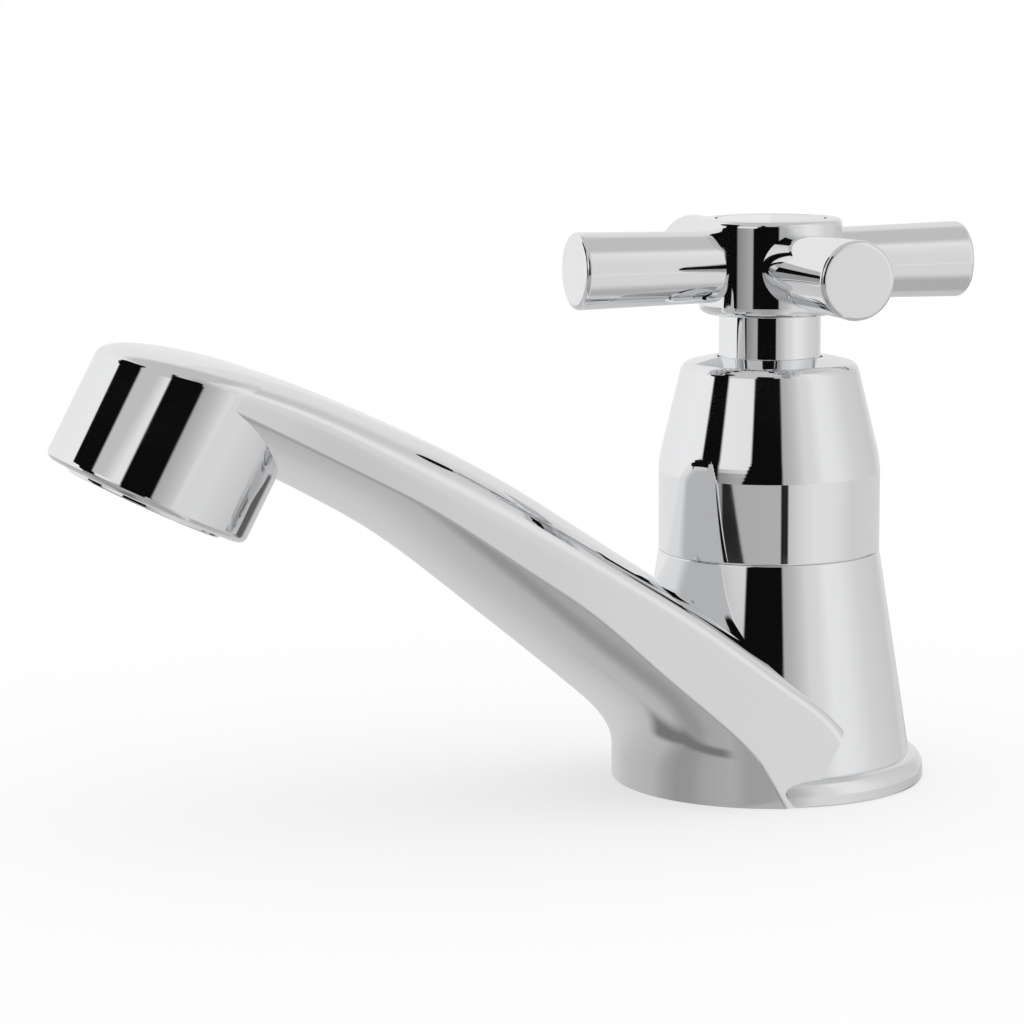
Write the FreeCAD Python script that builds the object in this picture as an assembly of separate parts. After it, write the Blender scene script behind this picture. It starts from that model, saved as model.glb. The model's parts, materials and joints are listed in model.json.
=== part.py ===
"""Cross handle basin tap: a pillar tap with a swooping spout, a bonnet cover and a four-armed cross handle.

Millimetres. +Z is up and the spout points along -Y. The origin is on the tap's axis, in the plane of the
deck that the tap stands on. Everything under the deck has a negative Z. The tap is drawn shut.
"""
import FreeCAD, Part
import math
import os

V = FreeCAD.Vector
UP = V(0, 0, 1)

# ---- fits -------------------------------------------------------------------------------------------
THREAD_FIT = 0.03            # radial, between two thread outlines drawn as plain cylinders
RUNNING_FIT = 0.05           # radial, between a turning or sliding shaft and its bore
LOOSE_FIT = 0.15             # radial, where a ring or a screw drops in freely
NECK_GAP = 0.31              # radial, between the handle's skirt and the bonnet cover
CAP_GROOVE = 0.30            # radial, the fine groove round the index cap
EDGE_BREAK = 0.25            # small chamfer on machined edges

# ---- body: foot, column and seat ----------------------------------------------------------------------
FLANGE_RADIUS = 25.0
FLANGE_HEIGHT = 4.2
FLANGE_ROUND = 2.5
COLUMN_FOOT_RADIUS = 22.75   # at the top of the flange
COLUMN_TOP_RADIUS = 17.7
COLUMN_HEIGHT = 36.9
HEADWORK_BORE = 10.48
HEADWORK_BORE_DEPTH = 10.5
CHAMBER_RADIUS = 9.2
SEAT_HEIGHT = 14.0
SEAT_RING_HEIGHT = 1.2
SEAT_RADIUS = 7.4
SEAT_BORE = 5.5
SPIGOT_RADIUS = 15.6         # ring on the column's top that the bonnet cover screws onto
SPIGOT_WALL = 1.5
SPIGOT_HEIGHT = 2.6
SEAL_GROOVE_RADIUS = 21.6    # outer radius of the groove under the flange
SEAL_WIDTH = 3.4
SEAL_DEPTH = 1.6

# ---- spout -------------------------------------------------------------------------------------------
FOOT_RADIUS = 25.3           # round front of the foot, below the spout
FOOT_WALL_HEIGHT = 5.0
FOOT_SPREAD = 7.0            # how far in front of the axis the round front starts, at the deck
HEEL_SPREAD = 10.7           # the same at the top of the foot's straight wall
HEEL_CREASE_HEIGHT = 6.8
HEEL_TOP_SETBACK = 7.6       # the spout's top line starts this far behind the axis, inside the column
HEEL_TOP_HEIGHT = 9.0
HEEL_CROWN = 5.0
BASE_TOP_SETBACK = 9.5
BASE_CROWN = 4.5
PANEL_CORNER_SETBACK = 2.6   # upper rear corner of the spout's flat side panels, behind the axis
PANEL_CORNER_HEIGHT = 9.4
PANEL_END_SLOPE = 56.0       # degrees from level, of the panels' rear edges
NOZZLE_RADIUS = 16.3
NOZZLE_REACH = 102.0         # from the tap's axis to the middle of the nozzle's mouth
NOZZLE_MOUTH_HEIGHT = 50.2
NOZZLE_LENGTH = 23.8         # along the nozzle's own axis
NOZZLE_TILT = 28.0           # degrees from upright, of the nozzle's outer wall, mouth outwards
MOUTH_TILT = 26.4            # the same, of the mouth and everything in it
NOZZLE_TOP_SLOPE = 16.0      # degrees, of the spout's top over the nozzle
NOZZLE_CROWN = 3.9
NOZZLE_HULL = 6.8
NOZZLE_KEEL_DEPTH = 12.8     # of the spout's end section, inside the nozzle
NOZZLE_EDGE = 1.2
SPOUT_END_INSET = 0.15       # of the spout's end section, inside the nozzle's surface
CROWN_EXPONENT = 2.5         # of the superellipse that the top's cross-section follows
# Sections between the foot and the nozzle. Keel and top points are shares of their line's run and rise;
# the width is a share of the way from the foot's half-width to the nozzle's. Crown and hull are heights.
SPOUT_SECTIONS = (
    # keel run, rise; top run, rise; width share; crown; hull
    (0.034, 0.105, 0.093, 0.154, 0.17, 4.6, 10.9),
    (0.109, 0.202, 0.220, 0.317, 0.30, 4.8, 9.1),
    (0.248, 0.356, 0.381, 0.496, 0.44, 5.3, 9.2),
    (0.381, 0.500, 0.510, 0.634, 0.58, 6.2, 8.3),
    (0.557, 0.683, 0.651, 0.764, 0.73, 6.3, 7.1),
    (0.710, 0.807, 0.789, 0.870, 0.87, 5.3, 6.5),
    (0.850, 0.905, 0.896, 0.944, 0.97, 4.6, 6.5),
)
WATERWAY_RADIUS = 4.5
WATERWAY_START_HEIGHT = 21.0
WATERWAY_BEND_REACH = 42.0
WATERWAY_BEND_HEIGHT = 37.5

# ---- outlet ------------------------------------------------------------------------------------------
AERATOR_BORE = 11.5
AERATOR_BORE_DEPTH = 10.0
AERATOR_LIP = 12.4           # radius of the housing's rim, which bears on the mouth
AERATOR_LIP_HEIGHT = 0.6
AERATOR_WALL = 1.6
AERATOR_SHELF = 1.2
AERATOR_SHELF_OPENING = 8.6
STRAIGHTENER_HEIGHT = 4.0
STRAIGHTENER_HOLE = 1.1
STRAIGHTENER_RINGS = ((0.0, 1), (3.3, 6), (6.6, 12))
SCREEN_HEIGHT = 0.8
SCREEN_SLOT = 1.0
SCREEN_SLOTS = 7
AERATOR_SEAL_HEIGHT = 1.5
AERATOR_SEAL_WIDTH = 2.4
OUTLET_THROAT = 7.5          # radius of the chamber over the aerator
OUTLET_THROAT_LENGTH = 4.0

# ---- inlet tail and what clamps the tap to its deck -----------------------------------------------------
TAIL_RADIUS = 10.4775        # half of the 20.955 mm major diameter of a G 1/2 thread
TAIL_LENGTH = 50.0
TAIL_SOCKET_DEPTH = 8.0      # how far the tail screws up into the foot
TAIL_BORE = 6.5
DECK_THICKNESS = 15.0
DECK_WASHER_RADIUS = 19.0
DECK_WASHER_HEIGHT = 2.5
BACK_NUT_FLATS = 30.0
BACK_NUT_HEIGHT = 7.0
BACK_NUT_COLLAR = 16.5
BACK_NUT_COLLAR_HEIGHT = 2.0

# ---- headwork ----------------------------------------------------------------------------------------
HEADWORK_GASKET_HEIGHT = 1.0
HEADWORK_GASKET_WIDTH = 2.9
HEADWORK_SHANK_LENGTH = 9.5
HEADWORK_FLATS = 23.0
HEADWORK_HEX_HEIGHT = 7.0
HEADWORK_BARREL = 9.4
HEADWORK_BARREL_LENGTH = 8.6
SPINDLE_DRUM = 6.4           # the spindle's threaded drum
SPINDLE_DRUM_LENGTH = 20.0
SPINDLE_SHAFT = 4.0
SPINDLE_SOCKET_DEPTH = 11.0
DRUM_HEADROOM = 1.5          # over the drum, fully open
PACKING_WIDTH = 2.2
PACKING_HEIGHT = 2.6
PACKING_BORE_DEPTH = 6.2
GLAND_SHANK_LENGTH = 3.4
GLAND_FLATS = 15.0
GLAND_HEAD_HEIGHT = 3.8

# ---- jumper valve --------------------------------------------------------------------------------------
LIFT = 5.1                   # how far the valve and the handle rise, fully open
VALVE_WASHER_RADIUS = 6.8
VALVE_WASHER_HEIGHT = 2.5
JUMPER_PLATE_RADIUS = 6.9
JUMPER_PLATE_HEIGHT = 1.6
JUMPER_STEM = 3.0
JUMPER_STEM_LENGTH = 10.0
JUMPER_STUD = 1.5
WASHER_NUT_FLATS = 6.0
WASHER_NUT_HEIGHT = 2.0
STUD_END = 0.5               # of the stud, past its nut

# ---- bonnet cover --------------------------------------------------------------------------------------
BONNET_SHOULDER = 14.4       # height of its straight wall
BONNET_CONE_HEIGHT = 15.6
BONNET_CONE_TOP = 13.95
BONNET_DOME_RISE = 1.2
BONNET_SHOULDER_ROUND = 14.0
BONNET_TOP_ROUND = 1.8
BONNET_WALL = 1.4

# ---- handle --------------------------------------------------------------------------------------------
HUB_RADIUS = 11.36
HUB_BOTTOM_HEIGHT = 74.8     # above the deck, with the tap shut
HUB_HEIGHT = 15.1
HUB_BOTTOM_ROUND = 1.5
HUB_TOP_ROUND = 1.0
SKIRT_RADIUS = 8.09
SKIRT_WALL = 1.2
SKIRT_LENGTH = 14.6          # below the hub
SPINDLE_SEAT_LENGTH = 8.0    # of spindle inside the hub
HUB_WEB = 1.4                # web under the screw's head
CAP_RADIUS = 8.56
CAP_HEIGHT = 2.6
CAP_ROUND = 0.4
CAP_CLIP_HEIGHT = 1.0
SCREW_POCKET = 4.6
SCREW_HEAD_RADIUS = 3.7
SCREW_HEAD_HEIGHT = 2.4
SCREW_RADIUS = 1.97
SCREW_LENGTH = 10.0
SCREW_KEY_FLATS = 2.5
SCREW_KEY_DEPTH = 1.4
ARM_COUNT = 4
ARM_HEIGHT = 7.6             # of the arms' axis above the hub's underside
ARM_ROOT_RADIUS = 5.6
ARM_TIP_RADIUS = 6.08
ARM_REACH = 33.2             # from the handle's axis to an arm's end
ARM_TIP_ROUND = 0.8
ARM_SPIGOT_RADIUS = 3.0
ARM_SPIGOT_LENGTH = 4.6

# ---- derived heights and radii ---------------------------------------------------------------------------
SEAT_FLOOR = SEAT_HEIGHT - SEAT_RING_HEIGHT
GASKET_TOP = COLUMN_HEIGHT + HEADWORK_GASKET_HEIGHT
HEX_TOP = GASKET_TOP + HEADWORK_HEX_HEIGHT
BARREL_TOP = HEX_TOP + HEADWORK_BARREL_LENGTH
PLATE_BOTTOM = SEAT_HEIGHT + VALVE_WASHER_HEIGHT
PLATE_TOP = PLATE_BOTTOM + JUMPER_PLATE_HEIGHT
DRUM_TOP = PLATE_TOP + SPINDLE_DRUM_LENGTH
DRUM_BORE_TOP = DRUM_TOP + LIFT + DRUM_HEADROOM
SPINDLE_TOP = HUB_BOTTOM_HEIGHT + SPINDLE_SEAT_LENGTH
WEB_TOP = SPINDLE_TOP + EDGE_BREAK + HUB_WEB
HUB_TOP = HUB_BOTTOM_HEIGHT + HUB_HEIGHT
CAP_BOTTOM = HUB_TOP - CAP_HEIGHT
ARM_AXIS = HUB_BOTTOM_HEIGHT + ARM_HEIGHT
DECK_WASHER_TOP = -DECK_THICKNESS
BACK_NUT_TOP = DECK_WASHER_TOP - DECK_WASHER_HEIGHT
BONNET_BOTTOM = COLUMN_HEIGHT
BONNET_TOP = BONNET_BOTTOM + BONNET_SHOULDER + BONNET_CONE_HEIGHT
SHELF_TOP = AERATOR_SHELF    # heights in the aerator are counted from the nozzle's mouth
SCREEN_TOP = SHELF_TOP + SCREEN_HEIGHT
STRAIGHTENER_TOP = SCREEN_TOP + STRAIGHTENER_HEIGHT
HOUSING_BORE = AERATOR_BORE - THREAD_FIT - AERATOR_WALL
CUT_MARGIN = 1.0             # how far a cutting tool runs past the face that it opens


def hexagon_radius(flats):
    """Corner radius of a hexagon with this distance over its flats."""
    return flats / math.sqrt(3)


def rod(radius, bottom, top):
    """Upright round bar between two heights."""
    return Part.makeCylinder(radius, top - bottom, V(0, 0, bottom))


def ring(outer, inner, bottom, top):
    """Upright tube between two heights."""
    return rod(outer, bottom, top).cut(rod(inner, bottom - CUT_MARGIN, top + CUT_MARGIN))


def hexagon(flats, bottom, top):
    """Upright hexagonal bar, one corner towards +X."""
    corner = hexagon_radius(flats)
    angles = [math.radians(60 * i) for i in range(7)]
    points = [V(corner * math.cos(a), corner * math.sin(a), bottom) for a in angles]
    return Part.Face(Part.makePolygon(points)).extrude(UP * (top - bottom))


def turned(outline):
    """Solid of revolution about Z from (radius, height) or (radius, height, corner radius) points."""
    corners = [V(p[0], 0, p[1]) for p in outline]
    rounds = [p[2] if len(p) > 2 else 0.0 for p in outline]
    edges = []
    count = len(corners)
    ends = []
    for i, corner in enumerate(corners):
        before = (corners[i - 1] - corner).normalize()
        after = (corners[(i + 1) % count] - corner).normalize()
        if rounds[i] == 0.0:
            ends.append((corner, corner, None))
            continue
        half = before.getAngle(after) / 2
        reach = rounds[i] / math.tan(half)
        middle = (before + after).normalize() * (rounds[i] / math.sin(half) - rounds[i])
        ends.append((corner + before * reach, corner + after * reach, corner + middle))
    for i, (first, last, middle) in enumerate(ends):
        if middle is not None:
            edges.append(Part.Arc(first, middle, last).toShape())
        following = ends[(i + 1) % count][0]
        if last.distanceToPoint(following) > 1e-6:
            edges.append(Part.makeLine(last, following))
    face = Part.Face(Part.Wire(edges))
    return face.revolve(V(0, 0, 0), UP, 360)


def spout_point(ahead, across, height):
    """Point given by its distance in front of the axis, its distance to the side and its height."""
    return V(across, -ahead, height)


def nozzle_axis():
    """Unit vector along the nozzle's outer wall, from its mouth up into the spout."""
    tilt = math.radians(NOZZLE_TILT)
    return spout_point(-math.sin(tilt), 0, math.cos(tilt))


def nozzle_point(up):
    """Point on the nozzle's axis, this far above its mouth."""
    return spout_point(NOZZLE_REACH, 0, NOZZLE_MOUTH_HEIGHT) + nozzle_axis() * up


def mouth_axis():
    """Unit vector square to the mouth, up into the nozzle."""
    tilt = math.radians(MOUTH_TILT)
    return spout_point(-math.sin(tilt), 0, math.cos(tilt))


def along_nozzle(shape):
    """Move a shape drawn upright over the origin square onto the nozzle's mouth, its zero at the mouth."""
    moved = shape.copy()
    moved.rotate(V(0, 0, 0), V(1, 0, 0), -MOUTH_TILT)
    moved.translate(nozzle_point(0))
    return moved


# ---- spout ---------------------------------------------------------------------------------------------
def crown_height(share):
    """Height of the top's cross-section, 0 to 1, at this share of its half-width."""
    return (1 - abs(share) ** CROWN_EXPONENT) ** (1 / CROWN_EXPONENT)


def crown_points(half_width, crown):
    """Points across the rounded top, as (across, height over the band's upper edge)."""
    points = []
    steps = 12
    for i in range(steps + 1):
        turn = math.pi * i / steps
        across = math.copysign(abs(math.cos(turn)) ** (2 / CROWN_EXPONENT), math.cos(turn))
        if i == steps // 2:
            across = 0.0
        height = 0.0 if i in (0, steps) else crown_height(across)
        points.append((half_width * across, crown * height))
    return points


def hull_points(half_width, hull):
    """Points of the arc across the underside, as (across, depth under the band's lower edge)."""
    radius = (half_width ** 2 + hull ** 2) / (2 * hull)
    reach = math.asin(half_width / radius)
    steps = 8
    turns = [reach * (2 * i / steps - 1) for i in range(steps + 1)]
    return [(radius * math.sin(a), radius * math.cos(a) - (radius - hull)) for a in turns]


def smooth_edge(points):
    """One spline edge through points, evenly spaced in its parameter."""
    curve = Part.BSplineCurve()
    curve.interpolate(Points=points, Parameters=[float(i) for i in range(len(points))])
    return curve.toShape()


def section_wire(keel, top, half_width, crown, hull):
    """Closed cross-section of the spout, in the plane through its keel and top points and across."""
    up = (top - keel).normalize()
    crease = keel + up * hull
    edge = top - up * crown
    over = [edge + V(across, 0, 0) + up * rise for across, rise in crown_points(half_width, crown)]
    under = [crease + V(across, 0, 0) - up * drop for across, drop in hull_points(half_width, hull)]
    return Part.Wire([
        smooth_edge(over),
        Part.makeLine(over[-1], under[0]),
        smooth_edge(under),
        Part.makeLine(under[-1], over[0]),
    ])


def spout_sections():
    """Cross-sections from the deck, round the heel and up to the nozzle."""
    foot_half_width = math.sqrt(FOOT_RADIUS ** 2 - HEEL_SPREAD ** 2)
    heel_keel = spout_point(FOOT_RADIUS, 0, FOOT_WALL_HEIGHT)
    heel_top = spout_point(-HEEL_TOP_SETBACK, 0, HEEL_TOP_HEIGHT)
    heel_hull = math.hypot(FOOT_RADIUS - HEEL_SPREAD, HEEL_CREASE_HEIGHT - FOOT_WALL_HEIGHT)
    end_top = nozzle_point(NOZZLE_LENGTH - SPOUT_END_INSET)
    end_keel = nozzle_point(NOZZLE_LENGTH - NOZZLE_KEEL_DEPTH)
    end_half_width = NOZZLE_RADIUS - SPOUT_END_INSET
    base_half_width = math.sqrt(FOOT_RADIUS ** 2 - FOOT_SPREAD ** 2)
    wires = [
        section_wire(spout_point(FOOT_RADIUS, 0, 0), spout_point(-BASE_TOP_SETBACK, 0, 0),
                     base_half_width, BASE_CROWN, FOOT_RADIUS - FOOT_SPREAD),
        section_wire(heel_keel, heel_top, foot_half_width, HEEL_CROWN, heel_hull),
    ]
    for keel_run, keel_rise, top_run, top_rise, width_share, crown, hull in SPOUT_SECTIONS:
        keel_span = end_keel - heel_keel
        top_span = end_top - heel_top
        keel = heel_keel + V(0, keel_span.y * keel_run, keel_span.z * keel_rise)
        top = heel_top + V(0, top_span.y * top_run, top_span.z * top_rise)
        half_width = foot_half_width + (end_half_width - foot_half_width) * width_share
        wires.append(section_wire(keel, top, half_width, crown, hull))
    wires.append(section_wire(end_keel, end_top, end_half_width, NOZZLE_CROWN, NOZZLE_HULL))
    return wires


def nozzle():
    """Tilted round nozzle: its rounded top lies at the spout's slope, its mouth is square to its axis."""
    depth = NOZZLE_LENGTH + NOZZLE_RADIUS
    half = [V(across, 0, rise - NOZZLE_CROWN) for across, rise in crown_points(NOZZLE_RADIUS, NOZZLE_CROWN)
            if across >= 0]
    outline = Part.Wire([
        smooth_edge(half),
        Part.makeLine(half[-1], V(0, 0, -depth)),
        Part.makeLine(V(0, 0, -depth), V(NOZZLE_RADIUS, 0, -depth)),
        Part.makeLine(V(NOZZLE_RADIUS, 0, -depth), half[0]),
    ])
    upright = Part.Face(outline).revolve(V(0, 0, 0), UP, 360)
    slope = math.radians(NOZZLE_TOP_SLOPE)
    stretch = 1 / math.cos(math.radians(NOZZLE_TILT) - slope)
    ahead = spout_point(math.cos(slope), 0, math.sin(slope)) * stretch
    up = nozzle_axis()
    top = nozzle_point(NOZZLE_LENGTH)
    leaning = upright.transformGeometry(FreeCAD.Matrix(
        1, 0, 0, top.x,
        0, -ahead.y, up.y, top.y,
        0, -ahead.z, up.z, top.z,
        0, 0, 0, 1,
    ))
    blank = leaning.cut(along_nozzle(rod(2 * NOZZLE_RADIUS, -2 * depth, 0)))
    square = mouth_axis()
    middle = nozzle_point(0)
    mouth = [edge for edge in blank.Edges if edge.Length > NOZZLE_RADIUS
             and all(abs((vertex.Point - middle).dot(square)) < EDGE_BREAK for vertex in edge.Vertexes)]
    return blank.makeFillet(NOZZLE_EDGE, mouth)


def column():
    """Flange and tapering column, up to the seam under the bonnet cover, with the cover's spigot."""
    spigot_top = COLUMN_HEIGHT + SPIGOT_HEIGHT
    return turned([
        (0, 0),
        (FLANGE_RADIUS, 0),
        (FLANGE_RADIUS, FLANGE_HEIGHT, FLANGE_ROUND),
        (COLUMN_FOOT_RADIUS, FLANGE_HEIGHT),
        (COLUMN_TOP_RADIUS, COLUMN_HEIGHT, EDGE_BREAK),
        (SPIGOT_RADIUS, COLUMN_HEIGHT),
        (SPIGOT_RADIUS, spigot_top),
        (0, spigot_top),
    ])


def waterway():
    """Hollow from the valve chamber through the spout to the space over the aerator."""
    start = spout_point(CHAMBER_RADIUS / 2, 0, WATERWAY_START_HEIGHT)
    bend = spout_point(WATERWAY_BEND_REACH, 0, WATERWAY_BEND_HEIGHT)
    end = nozzle_point(0) + mouth_axis() * (AERATOR_BORE_DEPTH + OUTLET_THROAT_LENGTH / 2)
    hollow = Part.makeSphere(WATERWAY_RADIUS, bend)
    for first, last in ((start, bend), (bend, end)):
        hollow = hollow.fuse(Part.makeCylinder(WATERWAY_RADIUS, (last - first).Length, first, last - first))
    return hollow


def panel_end():
    """Block to cut from the spout behind the rear edges of its flat side panels."""
    size = 4 * FLANGE_RADIUS
    block = Part.makeBox(size, size, size, V(-size / 2, 0, -size / 2))
    block.rotate(V(0, 0, 0), V(1, 0, 0), PANEL_END_SLOPE - 90)
    block.translate(spout_point(-PANEL_CORNER_SETBACK, 0, PANEL_CORNER_HEIGHT))
    return block


def tap_body():
    """One casting: foot, column, spout and nozzle, with its bores."""
    spout = Part.makeLoft(spout_sections(), True, False).cut(panel_end())
    solid = column().fuse([spout, nozzle()])
    spigot_top = COLUMN_HEIGHT + SPIGOT_HEIGHT
    hollows = [
        rod(TAIL_RADIUS + THREAD_FIT, -CUT_MARGIN, TAIL_SOCKET_DEPTH),
        rod(SEAT_BORE, 0, SEAT_HEIGHT + CUT_MARGIN),
        ring(CHAMBER_RADIUS, SEAT_RADIUS, SEAT_FLOOR, SEAT_HEIGHT),
        rod(CHAMBER_RADIUS, SEAT_HEIGHT, COLUMN_HEIGHT),
        rod(HEADWORK_BORE, COLUMN_HEIGHT - HEADWORK_BORE_DEPTH, spigot_top),
        rod(SPIGOT_RADIUS - SPIGOT_WALL, COLUMN_HEIGHT, spigot_top + CUT_MARGIN),
        ring(SEAL_GROOVE_RADIUS, SEAL_GROOVE_RADIUS - SEAL_WIDTH, -CUT_MARGIN, SEAL_DEPTH),
        along_nozzle(rod(AERATOR_BORE, -CUT_MARGIN, AERATOR_BORE_DEPTH)),
        along_nozzle(rod(OUTLET_THROAT, 0, AERATOR_BORE_DEPTH + OUTLET_THROAT_LENGTH)),
        waterway(),
    ]
    return solid.cut(hollows)


# ---- pieces under the deck --------------------------------------------------------------------------------
def base_seal():
    """Rubber ring in the groove under the flange."""
    outer = SEAL_GROOVE_RADIUS - THREAD_FIT
    inner = SEAL_GROOVE_RADIUS - SEAL_WIDTH + THREAD_FIT
    return ring(outer, inner, 0, SEAL_DEPTH)


def inlet_tail():
    """Threaded pipe that screws up into the foot and passes through the deck."""
    return ring(TAIL_RADIUS, TAIL_BORE, -TAIL_LENGTH, TAIL_SOCKET_DEPTH)


def deck_washer():
    """Flat washer under the deck."""
    return ring(DECK_WASHER_RADIUS, TAIL_RADIUS + LOOSE_FIT, BACK_NUT_TOP, DECK_WASHER_TOP)


def back_nut():
    """Collared hexagonal nut that pulls the tap down onto its deck."""
    collar_bottom = BACK_NUT_TOP - BACK_NUT_COLLAR_HEIGHT
    bottom = BACK_NUT_TOP - BACK_NUT_HEIGHT
    blank = rod(BACK_NUT_COLLAR, collar_bottom, BACK_NUT_TOP)
    blank = blank.fuse(hexagon(BACK_NUT_FLATS, bottom, collar_bottom))
    return blank.cut(rod(TAIL_RADIUS + THREAD_FIT, bottom - CUT_MARGIN, BACK_NUT_TOP + CUT_MARGIN))


# ---- headwork ------------------------------------------------------------------------------------------
def headwork_gasket():
    """Fibre washer between the headwork's hexagon and the column's top."""
    inner = HEADWORK_BORE + LOOSE_FIT
    return ring(inner + HEADWORK_GASKET_WIDTH, inner, COLUMN_HEIGHT, GASKET_TOP)


def headwork_body():
    """Brass body that screws into the column and guides the spindle."""
    shank_bottom = GASKET_TOP - HEADWORK_SHANK_LENGTH
    blank = rod(HEADWORK_BORE - THREAD_FIT, shank_bottom, GASKET_TOP)
    blank = blank.fuse([
        hexagon(HEADWORK_FLATS, GASKET_TOP, HEX_TOP),
        rod(HEADWORK_BARREL, HEX_TOP, BARREL_TOP),
    ])
    return blank.cut([
        rod(SPINDLE_DRUM + THREAD_FIT, shank_bottom - CUT_MARGIN, DRUM_BORE_TOP),
        rod(SPINDLE_SHAFT + LOOSE_FIT, DRUM_BORE_TOP, BARREL_TOP),
        rod(SPINDLE_SHAFT + PACKING_WIDTH, BARREL_TOP - PACKING_BORE_DEPTH, BARREL_TOP + CUT_MARGIN),
    ])


def gland_packing():
    """Rubber ring that seals the spindle."""
    bottom = BARREL_TOP - PACKING_BORE_DEPTH
    outer = SPINDLE_SHAFT + PACKING_WIDTH
    return ring(outer, SPINDLE_SHAFT + RUNNING_FIT, bottom, bottom + PACKING_HEIGHT)


def gland_nut():
    """Nut that holds the packing down in the headwork's barrel."""
    shank = rod(SPINDLE_SHAFT + PACKING_WIDTH - THREAD_FIT, BARREL_TOP - GLAND_SHANK_LENGTH, BARREL_TOP)
    blank = shank.fuse(hexagon(GLAND_FLATS, BARREL_TOP, BARREL_TOP + GLAND_HEAD_HEIGHT))
    bottom = BARREL_TOP - GLAND_SHANK_LENGTH - CUT_MARGIN
    return blank.cut(rod(SPINDLE_SHAFT + RUNNING_FIT, bottom, BARREL_TOP + GLAND_HEAD_HEIGHT + CUT_MARGIN))


def bonnet_cover():
    """Turned cover over the headwork: straight wall, long taper, shallow dome and a hole for the skirt."""
    shoulder = BONNET_BOTTOM + BONNET_SHOULDER
    hole = SKIRT_RADIUS + NECK_GAP
    thread = SPIGOT_RADIUS + THREAD_FIT
    thread_top = BONNET_BOTTOM + SPIGOT_HEIGHT + EDGE_BREAK
    inside = COLUMN_TOP_RADIUS - BONNET_WALL
    return turned([
        (thread, BONNET_BOTTOM),
        (COLUMN_TOP_RADIUS, BONNET_BOTTOM, EDGE_BREAK),
        (COLUMN_TOP_RADIUS, shoulder, BONNET_SHOULDER_ROUND),
        (BONNET_CONE_TOP, BONNET_TOP, BONNET_TOP_ROUND),
        (hole, BONNET_TOP + BONNET_DOME_RISE),
        (hole, BONNET_TOP + BONNET_DOME_RISE - BONNET_WALL),
        (BONNET_CONE_TOP - BONNET_WALL, BONNET_TOP - BONNET_WALL),
        (inside, shoulder, BONNET_SHOULDER_ROUND - BONNET_WALL),
        (inside, thread_top),
        (thread, thread_top),
    ])


# ---- jumper valve --------------------------------------------------------------------------------------
def jumper_valve():
    """Plate that carries the valve's washer, with a stem that turns in the spindle's socket."""
    stud_bottom = SEAT_HEIGHT - WASHER_NUT_HEIGHT - STUD_END
    return rod(JUMPER_PLATE_RADIUS, PLATE_BOTTOM, PLATE_TOP).fuse([
        rod(JUMPER_STEM, PLATE_TOP, PLATE_TOP + JUMPER_STEM_LENGTH),
        rod(JUMPER_STUD, stud_bottom, PLATE_BOTTOM),
    ])


def valve_washer():
    """Rubber washer that closes the seat."""
    return ring(VALVE_WASHER_RADIUS, JUMPER_STUD + RUNNING_FIT, SEAT_HEIGHT, PLATE_BOTTOM)


def washer_nut():
    """Small nut that holds the washer on its plate."""
    bottom = SEAT_HEIGHT - WASHER_NUT_HEIGHT
    hole = rod(JUMPER_STUD + THREAD_FIT, bottom - CUT_MARGIN, SEAT_HEIGHT + CUT_MARGIN)
    return hexagon(WASHER_NUT_FLATS, bottom, SEAT_HEIGHT).cut(hole)


# ---- handle --------------------------------------------------------------------------------------------
def spindle():
    """Spindle: threaded drum, shaft up into the hub, socket for the jumper and a tapped hole on top."""
    blank = rod(SPINDLE_DRUM, PLATE_TOP, DRUM_TOP).fuse(rod(SPINDLE_SHAFT, DRUM_TOP, SPINDLE_TOP))
    tapped_bottom = WEB_TOP - SCREW_LENGTH - CUT_MARGIN
    return blank.cut([
        rod(JUMPER_STEM + RUNNING_FIT, PLATE_TOP - CUT_MARGIN, PLATE_TOP + SPINDLE_SOCKET_DEPTH),
        rod(SCREW_RADIUS + THREAD_FIT, tapped_bottom, SPINDLE_TOP + CUT_MARGIN),
    ])


def arm_direction(index):
    """Unit vector along one arm. The first arm lies over the spout."""
    turn = 2 * math.pi * index / ARM_COUNT
    return spout_point(math.cos(turn), math.sin(turn), 0)


def handle_hub():
    """Hub with the skirt that runs down into the bonnet cover, bored for the spindle and the arms."""
    skirt_bottom = HUB_BOTTOM_HEIGHT - SKIRT_LENGTH
    blank = turned([
        (0, skirt_bottom),
        (SKIRT_RADIUS, skirt_bottom),
        (SKIRT_RADIUS, HUB_BOTTOM_HEIGHT),
        (HUB_RADIUS, HUB_BOTTOM_HEIGHT, HUB_BOTTOM_ROUND),
        (HUB_RADIUS, HUB_TOP, HUB_TOP_ROUND),
        (0, HUB_TOP),
    ])
    hollows = [
        rod(SKIRT_RADIUS - SKIRT_WALL, skirt_bottom - CUT_MARGIN, HUB_BOTTOM_HEIGHT - SKIRT_WALL),
        rod(SPINDLE_SHAFT + THREAD_FIT, skirt_bottom, SPINDLE_TOP + EDGE_BREAK),
        rod(SCREW_RADIUS + LOOSE_FIT, SPINDLE_TOP, WEB_TOP + CUT_MARGIN),
        rod(SCREW_POCKET, WEB_TOP, HUB_TOP),
        rod(CAP_RADIUS + CAP_GROOVE, CAP_BOTTOM, HUB_TOP + CUT_MARGIN),
    ]
    spigot_hole = ARM_SPIGOT_LENGTH + EDGE_BREAK
    for i in range(ARM_COUNT):
        out = arm_direction(i)
        start = out * (HUB_RADIUS - spigot_hole) + UP * ARM_AXIS
        length = spigot_hole + CUT_MARGIN
        hollows.append(Part.makeCylinder(ARM_SPIGOT_RADIUS + THREAD_FIT, length, start, out))
    return blank.cut(hollows)


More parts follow.
